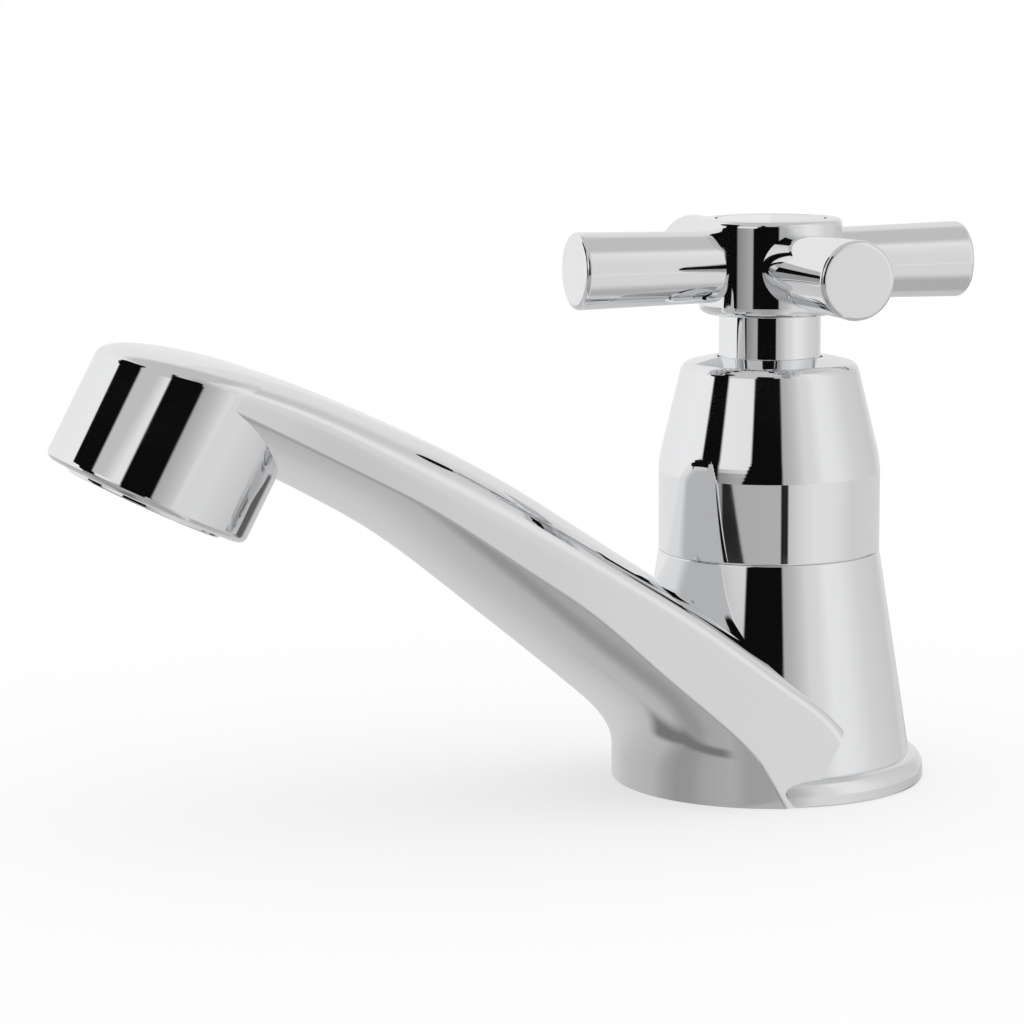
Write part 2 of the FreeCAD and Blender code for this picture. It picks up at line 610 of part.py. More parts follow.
def handle_arm(index):
    """Turned arm that flares to a flat round end, with a threaded spigot in the hub."""
    inside = HUB_RADIUS - ARM_SPIGOT_LENGTH
    upright = turned([
        (0, inside),
        (ARM_SPIGOT_RADIUS, inside),
        (ARM_SPIGOT_RADIUS, HUB_RADIUS - ARM_SPIGOT_LENGTH / 2),
        (ARM_ROOT_RADIUS, HUB_RADIUS - ARM_SPIGOT_LENGTH / 2),
        (ARM_TIP_RADIUS, ARM_REACH, ARM_TIP_ROUND),
        (0, ARM_REACH),
    ])
    spigot = rod(ARM_SPIGOT_RADIUS, inside, HUB_RADIUS)
    upright.rotate(V(0, 0, 0), V(1, 0, 0), 90)
    spigot.rotate(V(0, 0, 0), V(1, 0, 0), 90)
    arm = upright.cut(rod(HUB_RADIUS + THREAD_FIT, -2 * ARM_TIP_RADIUS, 2 * ARM_TIP_RADIUS)).fuse(spigot)
    arm.rotate(V(0, 0, 0), UP, 360 * index / ARM_COUNT)
    arm.translate(UP * ARM_AXIS)
    return arm


def index_cap():
    """Flat disc that clips into the hub's top and hides the screw."""
    clip = CAP_RADIUS + CAP_GROOVE - THREAD_FIT
    return turned([
        (0, CAP_BOTTOM),
        (clip, CAP_BOTTOM),
        (clip, CAP_BOTTOM + CAP_CLIP_HEIGHT),
        (CAP_RADIUS, CAP_BOTTOM + CAP_CLIP_HEIGHT),
        (CAP_RADIUS, HUB_TOP, CAP_ROUND),
        (0, HUB_TOP),
    ])


def handle_screw():
    """Socket-head screw that holds the hub on the spindle."""
    head_top = WEB_TOP + SCREW_HEAD_HEIGHT
    blank = rod(SCREW_RADIUS, WEB_TOP - SCREW_LENGTH, WEB_TOP).fuse(rod(SCREW_HEAD_RADIUS, WEB_TOP, head_top))
    return blank.cut(hexagon(SCREW_KEY_FLATS, head_top - SCREW_KEY_DEPTH, head_top + CUT_MARGIN))


# ---- aerator -------------------------------------------------------------------------------------------
def aerator_housing():
    """Threaded ring in the nozzle's mouth, with a shelf for the screen."""
    body = ring(AERATOR_BORE - THREAD_FIT, HOUSING_BORE, 0, STRAIGHTENER_TOP)
    shelf = ring(AERATOR_BORE - THREAD_FIT, AERATOR_SHELF_OPENING, 0, SHELF_TOP)
    lip = ring(AERATOR_LIP, AERATOR_SHELF_OPENING, -AERATOR_LIP_HEIGHT, 0)
    return along_nozzle(body.fuse([shelf, lip]))


def aerator_screen():
    """Slotted disc that breaks up the water."""
    disc = rod(HOUSING_BORE - THREAD_FIT, SHELF_TOP, SCREEN_TOP)
    pitch = 2 * SCREEN_SLOT
    slots = []
    for i in range(SCREEN_SLOTS):
        middle = (i - (SCREEN_SLOTS - 1) / 2) * pitch
        reach = math.sqrt(AERATOR_SHELF_OPENING ** 2 - middle ** 2) - SCREEN_SLOT
        corner = V(middle - SCREEN_SLOT / 2, -reach, SHELF_TOP - CUT_MARGIN)
        slots.append(Part.makeBox(SCREEN_SLOT, 2 * reach, SCREEN_HEIGHT + 2 * CUT_MARGIN, corner))
    return along_nozzle(disc.cut(slots))


def flow_straightener():
    """Thick drilled disc over the screen."""
    disc = rod(HOUSING_BORE - THREAD_FIT, SCREEN_TOP, STRAIGHTENER_TOP)
    holes = []
    for radius, count in STRAIGHTENER_RINGS:
        for i in range(count):
            turn = 2 * math.pi * i / count
            hole = rod(STRAIGHTENER_HOLE, SCREEN_TOP - CUT_MARGIN, STRAIGHTENER_TOP + CUT_MARGIN)
            hole.translate(V(radius * math.cos(turn), radius * math.sin(turn), 0))
            holes.append(hole)
    return along_nozzle(disc.cut(holes))


def aerator_seal():
    """Rubber ring between the aerator's housing and the bottom of its bore."""
    outer = AERATOR_BORE - THREAD_FIT
    top = STRAIGHTENER_TOP + AERATOR_SEAL_HEIGHT
    return along_nozzle(ring(outer, outer - AERATOR_SEAL_WIDTH, STRAIGHTENER_TOP, top))


NODES = {
    "tap_body": tap_body,
    "base_seal": base_seal,
    "inlet_tail": inlet_tail,
    "deck_washer": deck_washer,
    "back_nut": back_nut,
    "headwork_gasket": headwork_gasket,
    "headwork_body": headwork_body,
    "gland_packing": gland_packing,
    "gland_nut": gland_nut,
    "bonnet_cover": bonnet_cover,
    "aerator_housing": aerator_housing,
    "aerator_screen": aerator_screen,
    "flow_straightener": flow_straightener,
    "aerator_seal": aerator_seal,
    "jumper_valve": jumper_valve,
    "valve_washer": valve_washer,
    "washer_nut": washer_nut,
    "spindle": spindle,
    "handle_hub": handle_hub,
    "index_cap": index_cap,
    "handle_screw": handle_screw,
}
ARM_NAMES = ("front", "right", "back", "left")


def export(name, shape):
    """Write one piece and print its volume."""
    if not shape.isValid() or len(shape.Solids) != 1:
        print("CHECK", name, "valid", shape.isValid(), "solids", len(shape.Solids))
    shape.exportStep("parts/" + name + ".step")
    print(name, round(shape.Volume, 1))


os.makedirs("parts", exist_ok=True)
for node, make in NODES.items():
    export(node, make())
for number, place in enumerate(ARM_NAMES):
    export("handle_arm_" + place, handle_arm(number))
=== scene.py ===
"""Cross handle basin tap, dressed for show.

Builds the polished pieces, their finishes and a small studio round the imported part. The file is laid out as
an add-on and is run as a script. All lengths are metres. +Z is up, the spout points along -Y and the deck is
the plane Z = 0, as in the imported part.
"""

import json
import math
from functools import partial

import bmesh
import bpy
import numpy as np
from bpy.props import FloatProperty, FloatVectorProperty, PointerProperty
from mathutils import Matrix, Vector

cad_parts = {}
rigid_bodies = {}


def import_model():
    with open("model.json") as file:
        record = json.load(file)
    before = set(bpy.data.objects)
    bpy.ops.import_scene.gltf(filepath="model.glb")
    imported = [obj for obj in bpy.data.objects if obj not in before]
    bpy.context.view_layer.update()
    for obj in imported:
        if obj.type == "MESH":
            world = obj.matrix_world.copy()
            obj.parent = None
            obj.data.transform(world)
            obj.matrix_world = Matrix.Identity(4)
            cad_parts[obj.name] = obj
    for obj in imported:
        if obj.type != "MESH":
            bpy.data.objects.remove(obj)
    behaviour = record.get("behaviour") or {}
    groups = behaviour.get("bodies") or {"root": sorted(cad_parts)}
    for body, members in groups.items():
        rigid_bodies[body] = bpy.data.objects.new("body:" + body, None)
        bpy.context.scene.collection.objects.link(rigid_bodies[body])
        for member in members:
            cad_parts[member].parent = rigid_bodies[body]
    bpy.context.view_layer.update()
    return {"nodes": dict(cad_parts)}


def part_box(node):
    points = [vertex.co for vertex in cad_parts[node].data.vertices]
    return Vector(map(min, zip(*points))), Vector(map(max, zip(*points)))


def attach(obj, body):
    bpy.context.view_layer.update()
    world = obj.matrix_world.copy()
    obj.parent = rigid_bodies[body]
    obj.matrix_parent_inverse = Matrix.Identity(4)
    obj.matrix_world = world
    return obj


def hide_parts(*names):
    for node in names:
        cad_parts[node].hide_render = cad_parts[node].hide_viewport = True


bl_info = {
    "name": "Cross handle basin tap",
    "version": (1, 0, 0),
    "blender": (4, 5, 0),
    "location": "3D View > Sidebar > Tap",
    "description": "Builds a chrome basin tap with a cross handle, piece by piece",
    "category": "Object",
}

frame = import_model()
FULL_TURN = 2 * math.pi


# ---- settings ----
def setting(kind, **fixed):
    """A function that makes one kind of setting from its name, description and default."""
    return lambda name, description, default: kind(name=name, description=description, default=default, **fixed)


length = setting(FloatProperty, min=0.0, unit="LENGTH", precision=5)
share = setting(FloatProperty, min=0.0, max=1.0, subtype="FACTOR")
colour = setting(FloatVectorProperty, size=3, min=0.0, max=1.0, subtype="COLOR")
rotation = setting(FloatProperty, unit="ROTATION")


def angle(name, description, degrees):
    """A setting for an angle, with its default in degrees."""
    return rotation(name, description, math.radians(degrees))


class CastingSettings(bpy.types.PropertyGroup):
    """Sizes of the foot, column, spout and nozzle."""

    flange_radius: length("Flange radius", "Radius of the bead round the foot", 0.025)
    flange_height: length("Flange height", "Height of the bead over the deck", 0.0042)
    column_foot_radius: length("Column foot radius", "Radius of the column at the top of the bead", 0.02275)
    column_top_radius: length("Column top radius", "Radius of the column under the seam", 0.0177)
    column_height: length("Column height", "Height of the seam over the deck", 0.0369)
    foot_radius: length("Foot radius", "Radius of the round front of the foot", 0.0253)
    nozzle_radius: length("Nozzle radius", "Radius of the round nozzle", 0.0163)
    nozzle_reach: length("Nozzle reach", "From the tap's axis to the middle of the mouth", 0.102)
    nozzle_mouth_height: length("Mouth height", "Height of the middle of the mouth", 0.0502)
    nozzle_length: length("Nozzle length", "Along the nozzle's own axis", 0.0238)
    nozzle_tilt: angle("Nozzle tilt", "From upright, of the nozzle's outer wall, mouth outwards", 28.0)
    mouth_tilt: angle("Mouth tilt", "From upright, of the mouth's bore", 26.4)
    nozzle_top_slope: angle("Top slope", "Slope of the spout's top over the nozzle", 16.0)
    panel_setback: length("Panel corner setback", "Upper rear corner of the flat sides, behind the axis", 0.0026)
    panel_height: length("Panel corner height", "Height of that corner over the deck", 0.0094)
    panel_slope: angle("Panel end slope", "From level, of the rear edges of the flat sides", 56.0)
    crease_round: length("Crease rounding", "Reach of the rounding on the spout's lower edges", 0.00035)


class BonnetSettings(bpy.types.PropertyGroup):
    """Sizes of the cover over the headwork."""

    wall_height: length("Wall height", "Height of the straight wall", 0.0144)
    taper_height: length("Taper height", "Height of the long taper", 0.0156)
    top_radius: length("Top radius", "Radius at the end of the taper", 0.01395)
    dome_rise: length("Dome rise", "Rise of the shallow dome", 0.0012)
    neck_gap: length("Neck gap", "Gap between the cover and the handle's skirt", 0.00031)
    wall: length("Wall thickness", "Thickness of the cover", 0.0014)
    shoulder_round: length("Shoulder rounding", "Radius between the straight wall and the taper", 0.014)


class HandleSettings(bpy.types.PropertyGroup):
    """Sizes of the cross handle."""

    hub_radius: length("Hub radius", "Radius of the hub", 0.01136)
    hub_bottom: length("Hub underside", "Height of the hub's underside over the deck", 0.0748)
    hub_height: length("Hub height", "Height of the hub", 0.0151)
    skirt_radius: length("Skirt radius", "Radius of the skirt that runs into the cover", 0.00809)
    skirt_length: length("Skirt length", "Length of the skirt under the hub", 0.0146)
    cap_radius: length("Cap radius", "Radius of the disc on top", 0.00856)
    cap_groove: length("Cap groove", "Width of the fine groove round the disc", 0.0003)
    arm_height: length("Arm height", "Height of the arms' axis over the hub's underside", 0.0076)
    arm_root_radius: length("Arm root radius", "Radius of an arm at the hub", 0.0056)
    arm_tip_radius: length("Arm tip radius", "Radius of an arm at its flat end", 0.00608)
    arm_reach: length("Arm reach", "From the handle's axis to an arm's end", 0.0332)


class PlumbingSettings(bpy.types.PropertyGroup):
    """Sizes of the outlet and of the pieces under the deck."""

    outlet_bore: length("Outlet bore", "Radius of the bore that takes the aerator", 0.0115)
    tail_radius: length("Tail radius", "Radius over the thread's crests", 0.0104775)
    tail_bore: length("Tail bore", "Radius of the water way through the tail", 0.0065)
    tail_length: length("Tail length", "Length of the tail under the deck", 0.05)
    tail_socket: length("Tail socket", "How far the tail screws up into the foot", 0.008)
    thread_pitch: length("Thread pitch", "From crest to crest", 0.001814)
    thread_depth: length("Thread depth", "From crest to root", 0.001162)


class FinishSettings(bpy.types.PropertyGroup):
    """Colours of the finishes."""

    chrome: colour("Chrome", "Tint of the polished plate", (0.86, 0.865, 0.875))
    brass: colour("Brass", "Bare machined brass", (0.72, 0.53, 0.25))
    steel: colour("Steel", "Stainless steel", (0.62, 0.62, 0.61))
    rubber: colour("Rubber", "Black rubber", (0.022, 0.022, 0.024))
    fibre: colour("Fibre", "Pressed fibre washer", (0.36, 0.10, 0.07))
    plastic: colour("Plastic", "Moulded plastic", (0.78, 0.78, 0.75))


class StudioSettings(bpy.types.PropertyGroup):
    """Camera, floor and surround."""

    lens: FloatProperty(name="Lens", description="Focal length on a 36 mm frame", default=116.18, unit="CAMERA")
    camera: FloatVectorProperty(name="Camera", description="Where the camera stands", size=3, unit="LENGTH",
                                default=(0.4826, -0.2093, 0.1244))
    heading: angle("Heading", "Turn of the camera about the vertical", 71.05)
    dip: angle("Dip", "How far the camera looks down", 8.83)
    roll: angle("Roll", "Roll of the camera about its own axis", -0.34)
    floor: colour("Floor", "Colour of the floor", (0.5, 0.5, 0.5))
    floor_fill: share("Floor fill", "What the camera sees on top of the lit floor, to make it white", 0.5)
    wall: share("Walls", "Brightness of the wall on the left, as the metal sees it", 0.93)
    ceiling: share("Ceiling", "Brightness of the ceiling, as the metal sees it", 0.58)
    flag: share("Flags", "Brightness of the black flags, as the metal sees them", 0.004)


SETTINGS = {
    "casting": CastingSettings,
    "bonnet": BonnetSettings,
    "handle": HandleSettings,
    "plumbing": PlumbingSettings,
    "finish": FinishSettings,
    "studio": StudioSettings,
}


# ---- mesh helpers ----
SPIN_STEPS = 160
CORNER_STEPS = 6
SUPPORT = 0.00006  # from a rounding to the row that keeps the wall beside it shaded straight
MERGE = 1e-7  # points nearer than this are one point
FIT = 0.00003  # left free between two pieces that fit together
BROKEN_EDGE = 0.0003  # rounding of an edge that is only broken


def outline_edges(bm, outline, closed):
    """Draw (radius, height[, corner radius]) points as edges in the XZ plane and round their corners.

    Every edge then gets a support row near each of its ends.
    """
    verts = [bm.verts.new((point[0], 0.0, point[1])) for point in outline]
    for pair in zip(verts, verts[1:] + verts[:1] if closed else verts[1:]):
        bm.edges.new(pair)
    count = len(verts)
    reaches = {}
    for i, point in enumerate(outline):
        if len(point) > 2:
            before = verts[i - 1].co - verts[i].co
            after = verts[(i + 1) % count].co - verts[i].co
            reaches[verts[i]] = point[2] / math.tan(before.angle(after) / 2)
    for vert, reach in reaches.items():
        bmesh.ops.bevel(bm, geom=[vert], offset=reach, offset_type="OFFSET", segments=CORNER_STEPS,
                        profile=0.5, affect="VERTICES", material=-1, clamp_overlap=False)
    for edge in [edge for edge in bm.edges if edge.calc_length() > 4 * SUPPORT]:
        start, end = edge.verts
        vert = bmesh.utils.edge_split(edge, start, SUPPORT / edge.calc_length())[1]
        rest = max(vert.link_edges, key=lambda item: item.calc_length())
        bmesh.utils.edge_split(rest, end, SUPPORT / rest.calc_length())


def spin_outline(outline, closed=True, steps=SPIN_STEPS):
    """A bmesh turned about Z from an outline."""
    bm = bmesh.new()
    outline_edges(bm, outline, closed)
    bmesh.ops.spin(bm, geom=bm.verts[:] + bm.edges[:], cent=(0, 0, 0), axis=(0, 0, 1), angle=FULL_TURN,
                   steps=steps, use_merge=True, use_duplicate=False)
    bmesh.ops.remove_doubles(bm, verts=bm.verts, dist=MERGE)
    return bm


def mesh_of(bm, name):
    """Turn a bmesh into a mesh."""
    mesh = bpy.data.meshes.new(name)
    bm.to_mesh(mesh)
    bm.free()
    return mesh


def placed(name, data):
    """A new object in the scene."""
    piece = bpy.data.objects.new(name, data)
    bpy.context.scene.collection.objects.link(piece)
    return piece


def finish_piece(bm, name, body, slot, node, crisp=35.0):
    """Turn a bmesh into a piece that rides on a body and stands for a CAD node."""
    bmesh.ops.recalc_face_normals(bm, faces=bm.faces)
    mesh = mesh_of(bm, name)
    mesh.shade_smooth()
    mesh.set_sharp_from_angle(angle=math.radians(crisp))
    mesh.materials.append(finish_for(slot))
    piece = placed(name, mesh)
    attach(piece, body)
    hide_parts(node)


def join(bm, other):
    """Add one bmesh's shells to another."""
    mesh = mesh_of(other, "joined")
    bm.from_mesh(mesh)
    bpy.data.meshes.remove(mesh)


def cut_off(bm, point, facing):
    """Cut away what lies in front of a plane; returns what the cut makes."""
    return bmesh.ops.bisect_plane(bm, geom=bm.verts[:] + bm.edges[:] + bm.faces[:], plane_co=point,
                                  plane_no=facing, clear_outer=True, dist=MERGE)["geom_cut"]


def hollow(bm, radius, top):
    """Take a round pocket about the Z axis, up to a height, out of a closed bmesh."""
    pocket = bmesh.new()
    bmesh.ops.create_cone(pocket, cap_ends=True, segments=64, radius1=radius, radius2=radius, depth=2 * top)
    shape, tool = (placed(name, mesh_of(item, name)) for name, item in (("spout", bm), ("pocket", pocket)))
    cut = shape.modifiers.new("pocket", "BOOLEAN")
    cut.operation = "DIFFERENCE"
    cut.object = tool
    made = bmesh.new()
    made.from_object(shape, bpy.context.evaluated_depsgraph_get())
    for piece in (shape, tool):
        bpy.data.meshes.remove(piece.data)
    return made


# ---- finishes ----
def set_sockets(node, values):
    """Put plain values on a node's sockets, and link the values that are sockets themselves."""
    for socket, value in values.items():
        if isinstance(value, bpy.types.NodeSocket):
            node.id_data.links.new(value, node.inputs[socket])
        else:
            node.inputs[socket].default_value = value


def add_node(tree, kind, values, **settings):
    """A shader node with its settings, and with values or links on its sockets."""
    node = tree.nodes.new("ShaderNode" + kind)
    for key, value in settings.items():
        setattr(node, key, value)
    set_sockets(node, values)
    return node


def remap(tree, source, low, high, start=0.0, end=1.0):
    """Stretch the part of a value between low and high over start to end, smoothly."""
    return add_node(tree, "MapRange", {"Value": source, "From Min": low, "From Max": high, "To Min": start,
                                       "To Max": end}, interpolation_type="SMOOTHSTEP").outputs["Result"]


def spread(tree, source, start, end):
    """Stretch a value that runs from 0 to 1 over start to end."""
    return add_node(tree, "MapRange", {"Value": source, "To Min": start, "To Max": end}).outputs["Result"]


def combine(tree, operation, first, second):
    """Join two values with a Math node; either may be a plain number."""
    return add_node(tree, "Math", {0: first, 1: second}, operation=operation).outputs["Value"]


def relief(tree, height, strength, distance):
    """Normals of a fine relief, this deep in metres."""
    return add_node(tree, "Bump", {"Height": height, "Strength": strength, "Distance": distance}).outputs["Normal"]


def object_place(tree):
    """The place on a piece, in its own coordinates."""
    return add_node(tree, "TexCoord", {}).outputs["Object"]


def effect_group(name, inputs, outputs):
    """A new shader node group, the sockets by which its plain numbers come in, and its exit."""
    group = bpy.data.node_groups.new(name, "ShaderNodeTree")
    for label, default in inputs.items():
        group.interface.new_socket(label, in_out="INPUT", socket_type="NodeSocketFloat").default_value = default
    for label in outputs:
        kind = "Vector" if label == "Normal" else "Float"
        group.interface.new_socket(label, in_out="OUTPUT", socket_type="NodeSocket" + kind)
    return group, group.nodes.new("NodeGroupInput").outputs, group.nodes.new("NodeGroupOutput")


def polish_group(name):
    """Marks of use on polished plate: wiping haze, dried water spots and a faint waviness."""
    group, given, leave = effect_group(name, {"Smooth": 0.03, "Hazy": 0.09, "Waviness": 0.1},
                                       ("Roughness", "Normal"))
    place = object_place(group)
    haze = add_node(group, "TexNoise", {"Vector": place, "Scale": 90.0, "Detail": 5.0})
    spots = add_node(group, "TexVoronoi", {"Vector": place, "Scale": 210.0})
    wave = add_node(group, "TexNoise", {"Vector": place, "Scale": 60.0, "Detail": 1.0})
    drops = remap(group, spots.outputs["Distance"], 0.10, 0.22, 0.35, 0.0)
    film = remap(group, haze.outputs["Fac"], 0.45, 0.75)
    set_sockets(leave, {
        "Roughness": spread(group, combine(group, "ADD", film, drops), given["Smooth"], given["Hazy"]),
        "Normal": relief(group, wave.outputs["Fac"], given["Waviness"], 0.0002),
    })
    return group


def turning_group(name):
    """Fine rings from the lathe about the Z axis, with stains that gather between them."""
    group, given, leave = effect_group(name, {"Smooth": 0.2, "Rough": 0.4, "Depth": 0.2},
                                       ("Stain", "Roughness", "Normal"))
    place = object_place(group)
    axes = add_node(group, "SeparateXYZ", {"Vector": place}).outputs
    square = combine(group, "ADD", combine(group, "MULTIPLY", axes["X"], axes["X"]),
                     combine(group, "MULTIPLY", axes["Y"], axes["Y"]))
    flat = add_node(group, "CombineXYZ", {"X": combine(group, "POWER", square, 0.5), "Z": axes["Z"]})
    rings = add_node(group, "TexNoise", {"Vector": flat.outputs["Vector"], "Scale": 2600.0, "Detail": 2.0})
    blotch = add_node(group, "TexNoise", {"Vector": place, "Scale": 140.0, "Detail": 6.0, "Roughness": 0.62})
    stain = remap(group, blotch.outputs["Fac"], 0.46, 0.70)
    dull = combine(group, "ADD", combine(group, "MULTIPLY", rings.outputs["Fac"], 0.7),
                   combine(group, "MULTIPLY", stain, 0.4))
    set_sockets(leave, {
        "Stain": stain,
        "Roughness": spread(group, dull, given["Smooth"], given["Rough"]),
        "Normal": relief(group, rings.outputs["Fac"], given["Depth"], 0.00003),
    })
    return group


def grain_group(name):
    """Fine grain, flecks and dust of rubber, fibre and moulded plastic."""
    group, given, leave = effect_group(name, {"Scale": 900.0, "Depth": 0.3, "Smooth": 0.4, "Rough": 0.6},
                                       ("Flecks", "Dust", "Roughness", "Normal"))
    place = object_place(group)
    grain = add_node(group, "TexNoise", {"Vector": place, "Scale": given["Scale"], "Detail": 4.0, "Roughness": 0.65})
    flecks = add_node(group, "TexVoronoi", {"Vector": place,
                                            "Scale": combine(group, "MULTIPLY", given["Scale"], 0.8)})
    cloud = add_node(group, "TexNoise", {"Vector": place, "Scale": 120.0, "Detail": 5.0})
    set_sockets(leave, {
        "Flecks": remap(group, flecks.outputs["Distance"], 0.12, 0.34, 1.0, 0.0),
        "Dust": remap(group, cloud.outputs["Fac"], 0.48, 0.74),
        "Roughness": spread(group, grain.outputs["Fac"], given["Smooth"], given["Rough"]),
        "Normal": relief(group, grain.outputs["Fac"], given["Depth"], 0.00008),
    })
    return group


EFFECTS = {"polish_marks": polish_group, "turning_marks": turning_group, "moulded_grain": grain_group}


def node_shader(owner, name="Principled BSDF"):
    """Switch nodes on for a material or a world, and give the shader that it starts with."""
    owner.use_nodes = True
    return owner.node_tree.nodes[name]


def new_finish(name, tint, effect, values, metallic=0.0):
    """A material's shader, which takes roughness and normal from an effect, and the effect's outputs."""
    shader = node_shader(bpy.data.materials.new(name))
    group = bpy.data.node_groups.get(effect) or EFFECTS[effect](effect)
    marks = add_node(shader.id_data, "Group", values, node_tree=group).outputs
    set_sockets(shader, {"Base Color": (*tint, 1.0), "Metallic": metallic, "Roughness": marks["Roughness"],
                         "Normal": marks["Normal"]})
    return shader, marks


def stain_colour(shader, mask, clean, stained):
    """Blend the base colour from clean to stained by a mask."""
    mix = add_node(shader.id_data, "Mix", {"A": (*clean, 1.0), "B": (*stained, 1.0), "Factor": mask}, data_type="RGBA")
    set_sockets(shader, {"Base Color": mix.outputs["Result"]})


def darker(tint, keep):
    """The same tint, darker."""
    return tuple(part * keep for part in tint)


def chrome_finish(name, tints):
    """Polished chrome plate, a little wiped and with a few dried drops."""
    new_finish(name, tints.chrome, "polish_marks", {"Smooth": 0.025, "Hazy": 0.06, "Waviness": 0.03}, 1.0)


def brass_finish(name, tints):
    """Turned brass, dull where it has been handled."""
    shader, marks = new_finish(name, tints.brass, "turning_marks", {"Smooth": 0.16, "Rough": 0.46, "Depth": 0.35}, 1.0)
    red, green, blue = tints.brass
    stain_colour(shader, marks["Stain"], tints.brass, (red * 0.62, green * 0.52, blue * 0.42))


def steel_finish(name, tints):
    """Stainless steel with a fine brushed face."""
    shader, marks = new_finish(name, tints.steel, "turning_marks", {"Smooth": 0.14, "Rough": 0.34, "Depth": 0.25}, 1.0)
    stain_colour(shader, marks["Stain"], tints.steel, darker(tints.steel, 0.8))


def rubber_finish(name, tints):
    """Black rubber with a bloom of dust."""
    shader, marks = new_finish(name, tints.rubber, "moulded_grain",
                               {"Scale": 1500.0, "Depth": 0.4, "Smooth": 0.45, "Rough": 0.75})
    set_sockets(shader, {"Specular IOR Level": 0.35})
    bloom = combine(shader.id_data, "MULTIPLY", marks["Dust"], 0.6)
    stain_colour(shader, bloom, tints.rubber, (0.09, 0.088, 0.084))


def fibre_finish(name, tints):
    """Pressed fibre with darker strands."""
    shader, marks = new_finish(name, tints.fibre, "moulded_grain",
                               {"Scale": 1100.0, "Depth": 0.8, "Smooth": 0.6, "Rough": 0.9})
    stain_colour(shader, marks["Flecks"], tints.fibre, darker(tints.fibre, 0.45))


def plastic_finish(name, tints):
    """Moulded plastic with a faint cloudiness."""
    shader, marks = new_finish(name, tints.plastic, "moulded_grain",
                               {"Scale": 700.0, "Depth": 0.15, "Smooth": 0.28, "Rough": 0.5})
    set_sockets(shader, {"Subsurface Weight": 0.1, "Subsurface Radius": (0.001, 0.0009, 0.0007)})
    stain_colour(shader, marks["Dust"], tints.plastic, darker(tints.plastic, 0.88))


FINISHES = {
    "chrome": ("polished_chrome", chrome_finish),
    "brass": ("turned_brass", brass_finish),
    "steel": ("brushed_steel", steel_finish),
    "black_rubber": ("seal_rubber", rubber_finish),
    "fibre": ("pressed_fibre", fibre_finish),
    "white_plastic": ("moulded_plastic", plastic_finish),
}


def finish_for(slot):
    """The finish that a material slot of the record takes, made on first use."""
    name, make = FINISHES[slot]
    if name not in bpy.data.materials:
        make(name, bpy.context.scene.tap_finish)
    return bpy.data.materials[name]


# ---- casting ----
CROWN_EXPONENT = 2.5  # of the superellipse across the spout's and the nozzle's top
CROWN_STEPS = 44  # across the spout's top
NOZZLE_CROWN_STEPS = 56
BAND_STEPS = 4  # down a flat side
CREASE_STEPS = 5  # round a lower edge
BELLY_STEPS = 40  # across the hull under the spout
ROWS_PER_SECTION = 9  # cross-sections from one given section to the next
NOZZLE_CROWN = 0.0039
NOZZLE_CAP_BEND = 6.0  # how fast the cap's rear half drops away under the spout's top, per metre
NOZZLE_HULL = 0.0068
NOZZLE_KEEL_DEPTH = 0.0128  # from the nozzle's top down to the hull's end
NOZZLE_RIM = 0.0012  # rounding of the mouth's edge
OUTLET_DEPTH = 0.010  # of the bore that takes the aerator
SPOUT_END_INSET = 0.00015
VALVE_ROOM = 0.0095  # radius of the room in the foot where the jumper valve rises
VALVE_ROOM_COVER = 0.001  # left over that room, up to the seam
FOOT_SPREAD = 0.0070  # from the foot's front back to where its flat sides begin, at the deck
HEEL_SPREAD = 0.0107  # the same, at the top of its upright wall
FOOT_WALL_HEIGHT = 0.005
FOOT_WALL_ROWS = (0.4, 0.75)  # rows that keep the foot's wall straight, as shares of its height
HEEL_CREASE_HEIGHT = 0.0068
HEEL_TOP_SETBACK = 0.0076
HEEL_TOP_HEIGHT = 0.009
HEEL_CROWN = 0.005
BASE_TOP_SETBACK = 0.0095
BASE_CROWN = 0.0045
# Keel run and rise, top run and rise, width share, crown height, hull height of the sections along the spout.
SPOUT_SECTIONS = (
    (0.034, 0.105, 0.093, 0.154, 0.17, 0.0046, 0.0109),
    (0.109, 0.202, 0.220, 0.317, 0.30, 0.0048, 0.0091),
    (0.248, 0.356, 0.381, 0.496, 0.44, 0.0053, 0.0092),
    (0.381, 0.500, 0.510, 0.634, 0.58, 0.0062, 0.0083),
    (0.557, 0.683, 0.651, 0.764, 0.73, 0.0063, 0.0071),
    (0.710, 0.807, 0.789, 0.870, 0.87, 0.0053, 0.0065),
    (0.850, 0.905, 0.896, 0.944, 0.97, 0.0046, 0.0065),
)


def smooth_rows(rows, steps):
    """Rows of numbers along a smooth line through the given rows, by natural cubic splines."""
    rows = np.array(rows)
    runs = np.hypot(*np.diff(rows[:, :2], axis=0).T) + np.hypot(*np.diff(rows[:, 2:4], axis=0).T)
    knots = np.concatenate([[0.0], np.cumsum(runs)])
    gaps = np.diff(knots)
    count = len(rows)
    system = np.eye(count)
    right = np.zeros_like(rows)
    for i in range(1, count - 1):
        system[i, i - 1:i + 2] = gaps[i - 1], 2 * (gaps[i - 1] + gaps[i]), gaps[i]
        right[i] = 6 * ((rows[i + 1] - rows[i]) / gaps[i] - (rows[i] - rows[i - 1]) / gaps[i - 1])
    bend = np.linalg.solve(system, right)
    made = []
    for i in range(count - 1):
        for step in range(steps):
            a = step / steps
            b = 1.0 - a
            curve = (b ** 3 - b) * bend[i] + (a ** 3 - a) * bend[i + 1]
            made.append(b * rows[i] + a * rows[i + 1] + curve * gaps[i] ** 2 / 6)
    made.append(rows[-1])
    return made


def nozzle_point(sizes, up):
    """Point on the nozzle's axis, this far above its mouth."""
    along = Vector((0.0, math.sin(sizes.nozzle_tilt), math.cos(sizes.nozzle_tilt)))
    return Vector((0.0, -sizes.nozzle_reach, sizes.nozzle_mouth_height)) + along * up


